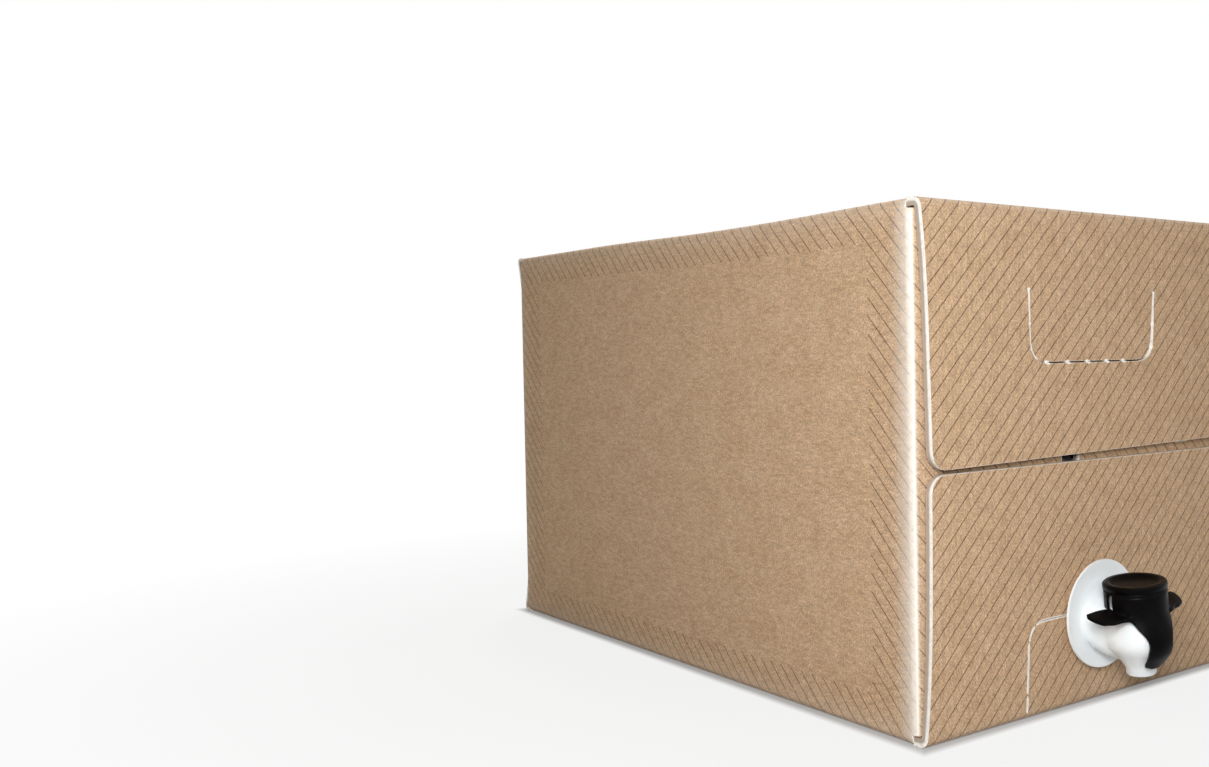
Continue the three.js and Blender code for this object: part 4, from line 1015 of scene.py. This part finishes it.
def smooth_copy(cad_node, name, body, material):
    """A copy of a CAD solid with its corners merged and its curved faces shaded as one surface."""
    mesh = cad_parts[cad_node].data.copy()
    mesh.name = name
    work = bmesh.new()
    work.from_mesh(mesh)
    bmesh.ops.remove_doubles(work, verts=work.verts, dist=WELD)
    work.to_mesh(mesh)
    work.free()
    mesh.materials.clear()
    mesh.materials.append(material)
    return dressed(name, mesh, body, cad_node, SMOOTH_ANGLE)


BARREL_AXIS = np.array([0.0, -177.5]) * MM
TAP_LEAN = np.radians(6)
WING_SIDE = 8 * MM
WING_ROOT = 12.4 * MM
WING_BLEND = 2.5 * MM
WING_SWEEP = np.radians(7)
WING_SHORTER = 0.72


def swept_wing(made):
    """Shortens the lever's right wing a little and turns it back to the carton, as the photograph shows."""
    count = len(made.data.vertices)
    points = np.empty(count * 3, dtype=np.float32)
    made.data.vertices.foreach_get("co", points)
    points = points.reshape(-1, 3).astype(float)
    lean = np.array([-np.tan(TAP_LEAN) * (points[:, 2] - TAP_HEIGHT), np.zeros(count)]).T
    offset = points[:, :2] - BARREL_AXIS - lean
    radius = np.linalg.norm(offset, axis=1)
    share = np.clip((radius - WING_ROOT) / WING_BLEND, 0, 1) * (offset[:, 0] > WING_SIDE)
    offset *= 1 - (1 - WING_SHORTER) * (share * np.clip(radius - WING_ROOT, 0, None) / radius)[:, None]
    angle = WING_SWEEP * share
    turned = np.stack([offset[:, 0] * np.cos(angle) - offset[:, 1] * np.sin(angle),
                       offset[:, 0] * np.sin(angle) + offset[:, 1] * np.cos(angle)], -1)
    points[:, :2] = turned + BARREL_AXIS + lean
    made.data.vertices.foreach_set("co", points.astype(np.float32).ravel())
    made.data.update()


milky = white_plastic()
black = black_plastic()
smooth_copy("tap_body", "tap_body_moulding", "tap", milky)
swept_wing(smooth_copy("tap_lever", "tap_lever_moulding", "lever", black))
smooth_copy("gland", "gland_moulding", "carton", milky)
smooth_copy("valve_stem", "valve_stem_moulding", "valve", milky)
seal_rubber = plain_finish("seal_rubber", RUBBER_TONES, 0.6)
smooth_copy("valve_plug", "valve_plug_rubber", "valve", seal_rubber)
smooth_copy("stem_seal", "stem_seal_ring", "tap", seal_rubber)
glue = plain_finish("hot_melt_glue", GLUE_TONES, 0.4)
for name in list(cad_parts):
    if name.startswith("hot_melt"):
        smooth_copy(name, name + "_ribbon", "carton", glue)

# Bag.
# A pillow of barrier film, filled until it takes the carton's inside form and drawn in at its ends. Folds
# run in from the ends and die out, and a welded seam crosses each end.
BAG_LOW, BAG_HIGH = (np.array(corner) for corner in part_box("bag"))
BAG_CORNER = 24 * MM
BAG_DRAW = 11 * MM
BAG_DRAW_REACH = 9 * MM
BAG_END_SINK = 0.2
BAG_ROUND = 128
BAG_LENGTHS = 66
BAG_END_RINGS = 26
BAG_FOLDS = 90
FOLD_DEPTH = 1.9 * MM
FOLD_LEAN = 0.0006
FOLD_WIDTH = (0.006, 0.014)
FOLD_REACH = (18, 75)
FOLD_SHARE = (0.35, 1.0)
GLAND_PATCH = 27 * MM
GLAND_PATCH_RIM = 8 * MM
SEAM_HALF = 4 * MM
SEAM_CRIMP = 1.3 * MM
DENT_WIDTH = 7 * MM
DENT_HEIGHT = 9 * MM
FILM_TONES = ((0.56, 0.58, 0.60, 1), (0.74, 0.75, 0.76, 1))
FILM_RELIEF = 0.5 * MM


def rounded_ring(half_x, half_z, radius, count):
    """Points at even distances round a rectangle with rounded corners."""
    turn = np.linspace(0, np.pi / 2, 10)
    corners = [(sx * (half_x - radius) + radius * np.cos(start + turn),
                sz * (half_z - radius) + radius * np.sin(start + turn))
               for start, sx, sz in ((0, 1, 1), (np.pi / 2, -1, 1), (np.pi, -1, -1), (1.5 * np.pi, 1, -1))]
    x, z = (np.concatenate([corner[k] for corner in corners]) for k in (0, 1))
    x, z = np.append(x, x[0]), np.append(z, z[0])
    run = np.concatenate([[0], np.cumsum(np.hypot(np.diff(x), np.diff(z)))])
    at = np.linspace(0, run[-1], count, endpoint=False)
    return np.stack([np.interp(at, run, x), np.interp(at, run, z)], -1)


def end_folds(rng, turn, depth):
    """Depth of the film's folds, 0 to 1: each starts near an end at some place round the bag and dies out."""
    deepest = np.zeros((len(depth), len(turn)))
    for _ in range(BAG_FOLDS):
        start = rng.uniform(0, 1)
        lean = rng.uniform(-FOLD_LEAN, FOLD_LEAN) / MM
        width = rng.uniform(*FOLD_WIDTH)
        reach = rng.uniform(*FOLD_REACH) * MM
        deep = rng.uniform(*FOLD_SHARE)
        away = np.abs((turn[None] - start - lean * depth[:, None] + 0.5) % 1 - 0.5)
        fold = deep * np.clip(1 - away / width, 0, 1) ** 1.3 * np.clip(1 - depth[:, None] / reach, 0, 1)
        deepest = np.maximum(deepest, fold)
    return deepest


def filled_bag():
    """Rings round the bag from the middle of the tap end to the middle of the back end."""
    rng = np.random.default_rng(11)
    middle, half = (BAG_LOW + BAG_HIGH) / 2, (BAG_HIGH - BAG_LOW) / 2
    turn = np.arange(BAG_ROUND) / BAG_ROUND
    y = middle[1] - half[1] * np.cos(np.linspace(0, np.pi, BAG_LENGTHS))
    from_tap, from_back = y - BAG_LOW[1], BAG_HIGH[1] - y
    nearest = np.minimum(from_tap, from_back)
    fold = np.maximum(end_folds(rng, turn, from_tap), end_folds(rng, turn, from_back))
    rows = []
    for k, depth in enumerate(nearest):
        draw = BAG_DRAW * np.exp(-depth / BAG_DRAW_REACH)
        ring = rounded_ring(half[0] - draw, half[2] - draw, BAG_CORNER + draw, BAG_ROUND)
        ring *= 1 - (FOLD_DEPTH * fold[k] / np.linalg.norm(ring, axis=1))[:, None]
        x = ring[:, 0] + middle[0]
        z = ring[:, 1] + middle[2] - BAG_END_SINK * draw
        rows.append(np.column_stack([x, np.full(BAG_ROUND, y[k]), z]))
    gland_centre = np.array([0, TAP_HEIGHT])
    for end, first in ((-1, rows[0]), (1, rows[-1])):
        centre = first.mean(axis=0)
        for share in np.linspace(1, 0, BAG_END_RINGS + 1)[1:-1]:
            ring = centre + (first - centre) * share
            seam = np.clip(1 - np.abs(ring[:, 2] - centre[2]) / SEAM_HALF, 0, 1) ** 0.3
            crimp = 0.5 + 0.5 * np.sin(ring[:, 0] / SEAM_CRIMP)
            dent = np.sin(ring[:, 0] / DENT_WIDTH + 2 * end) * np.sin(ring[:, 2] / DENT_HEIGHT)
            from_gland = np.hypot(*(ring[:, (0, 2)] - gland_centre).T)
            clear = np.clip((from_gland - GLAND_PATCH) / GLAND_PATCH_RIM, 0, 1)
            hollow = (0.7 + 0.5 * dent) * np.clip((1 - share) * 5, 0, 1) * (1 - seam)
            ridge = (0.1 + 0.08 * crimp) * seam
            ring[:, 1] -= end * (hollow - ridge) * clear * MM
            if end < 0:
                rows.insert(0, ring)
            else:
                rows.append(ring)
    points = np.concatenate(rows)
    index = np.arange(len(points)).reshape(len(rows), BAG_ROUND)
    ahead = np.roll(index, -1, axis=1)
    quads = np.stack([index[:-1], index[1:], ahead[1:], ahead[:-1]], -1).reshape(-1, 4).tolist()
    caps = [index[0].tolist(), index[-1][::-1].tolist()]
    mesh = bpy.data.meshes.new("filled_bag")
    mesh.from_pydata(points.tolist(), [], quads + caps)
    work = bmesh.new()
    work.from_mesh(mesh)
    bmesh.ops.recalc_face_normals(work, faces=work.faces)
    work.to_mesh(mesh)
    work.free()
    mesh.materials.append(plain_finish("barrier_film", FILM_TONES, 0.26, 260, 0.6, FILM_RELIEF))
    dressed("filled_bag", mesh, "carton", "bag")


filled_bag()
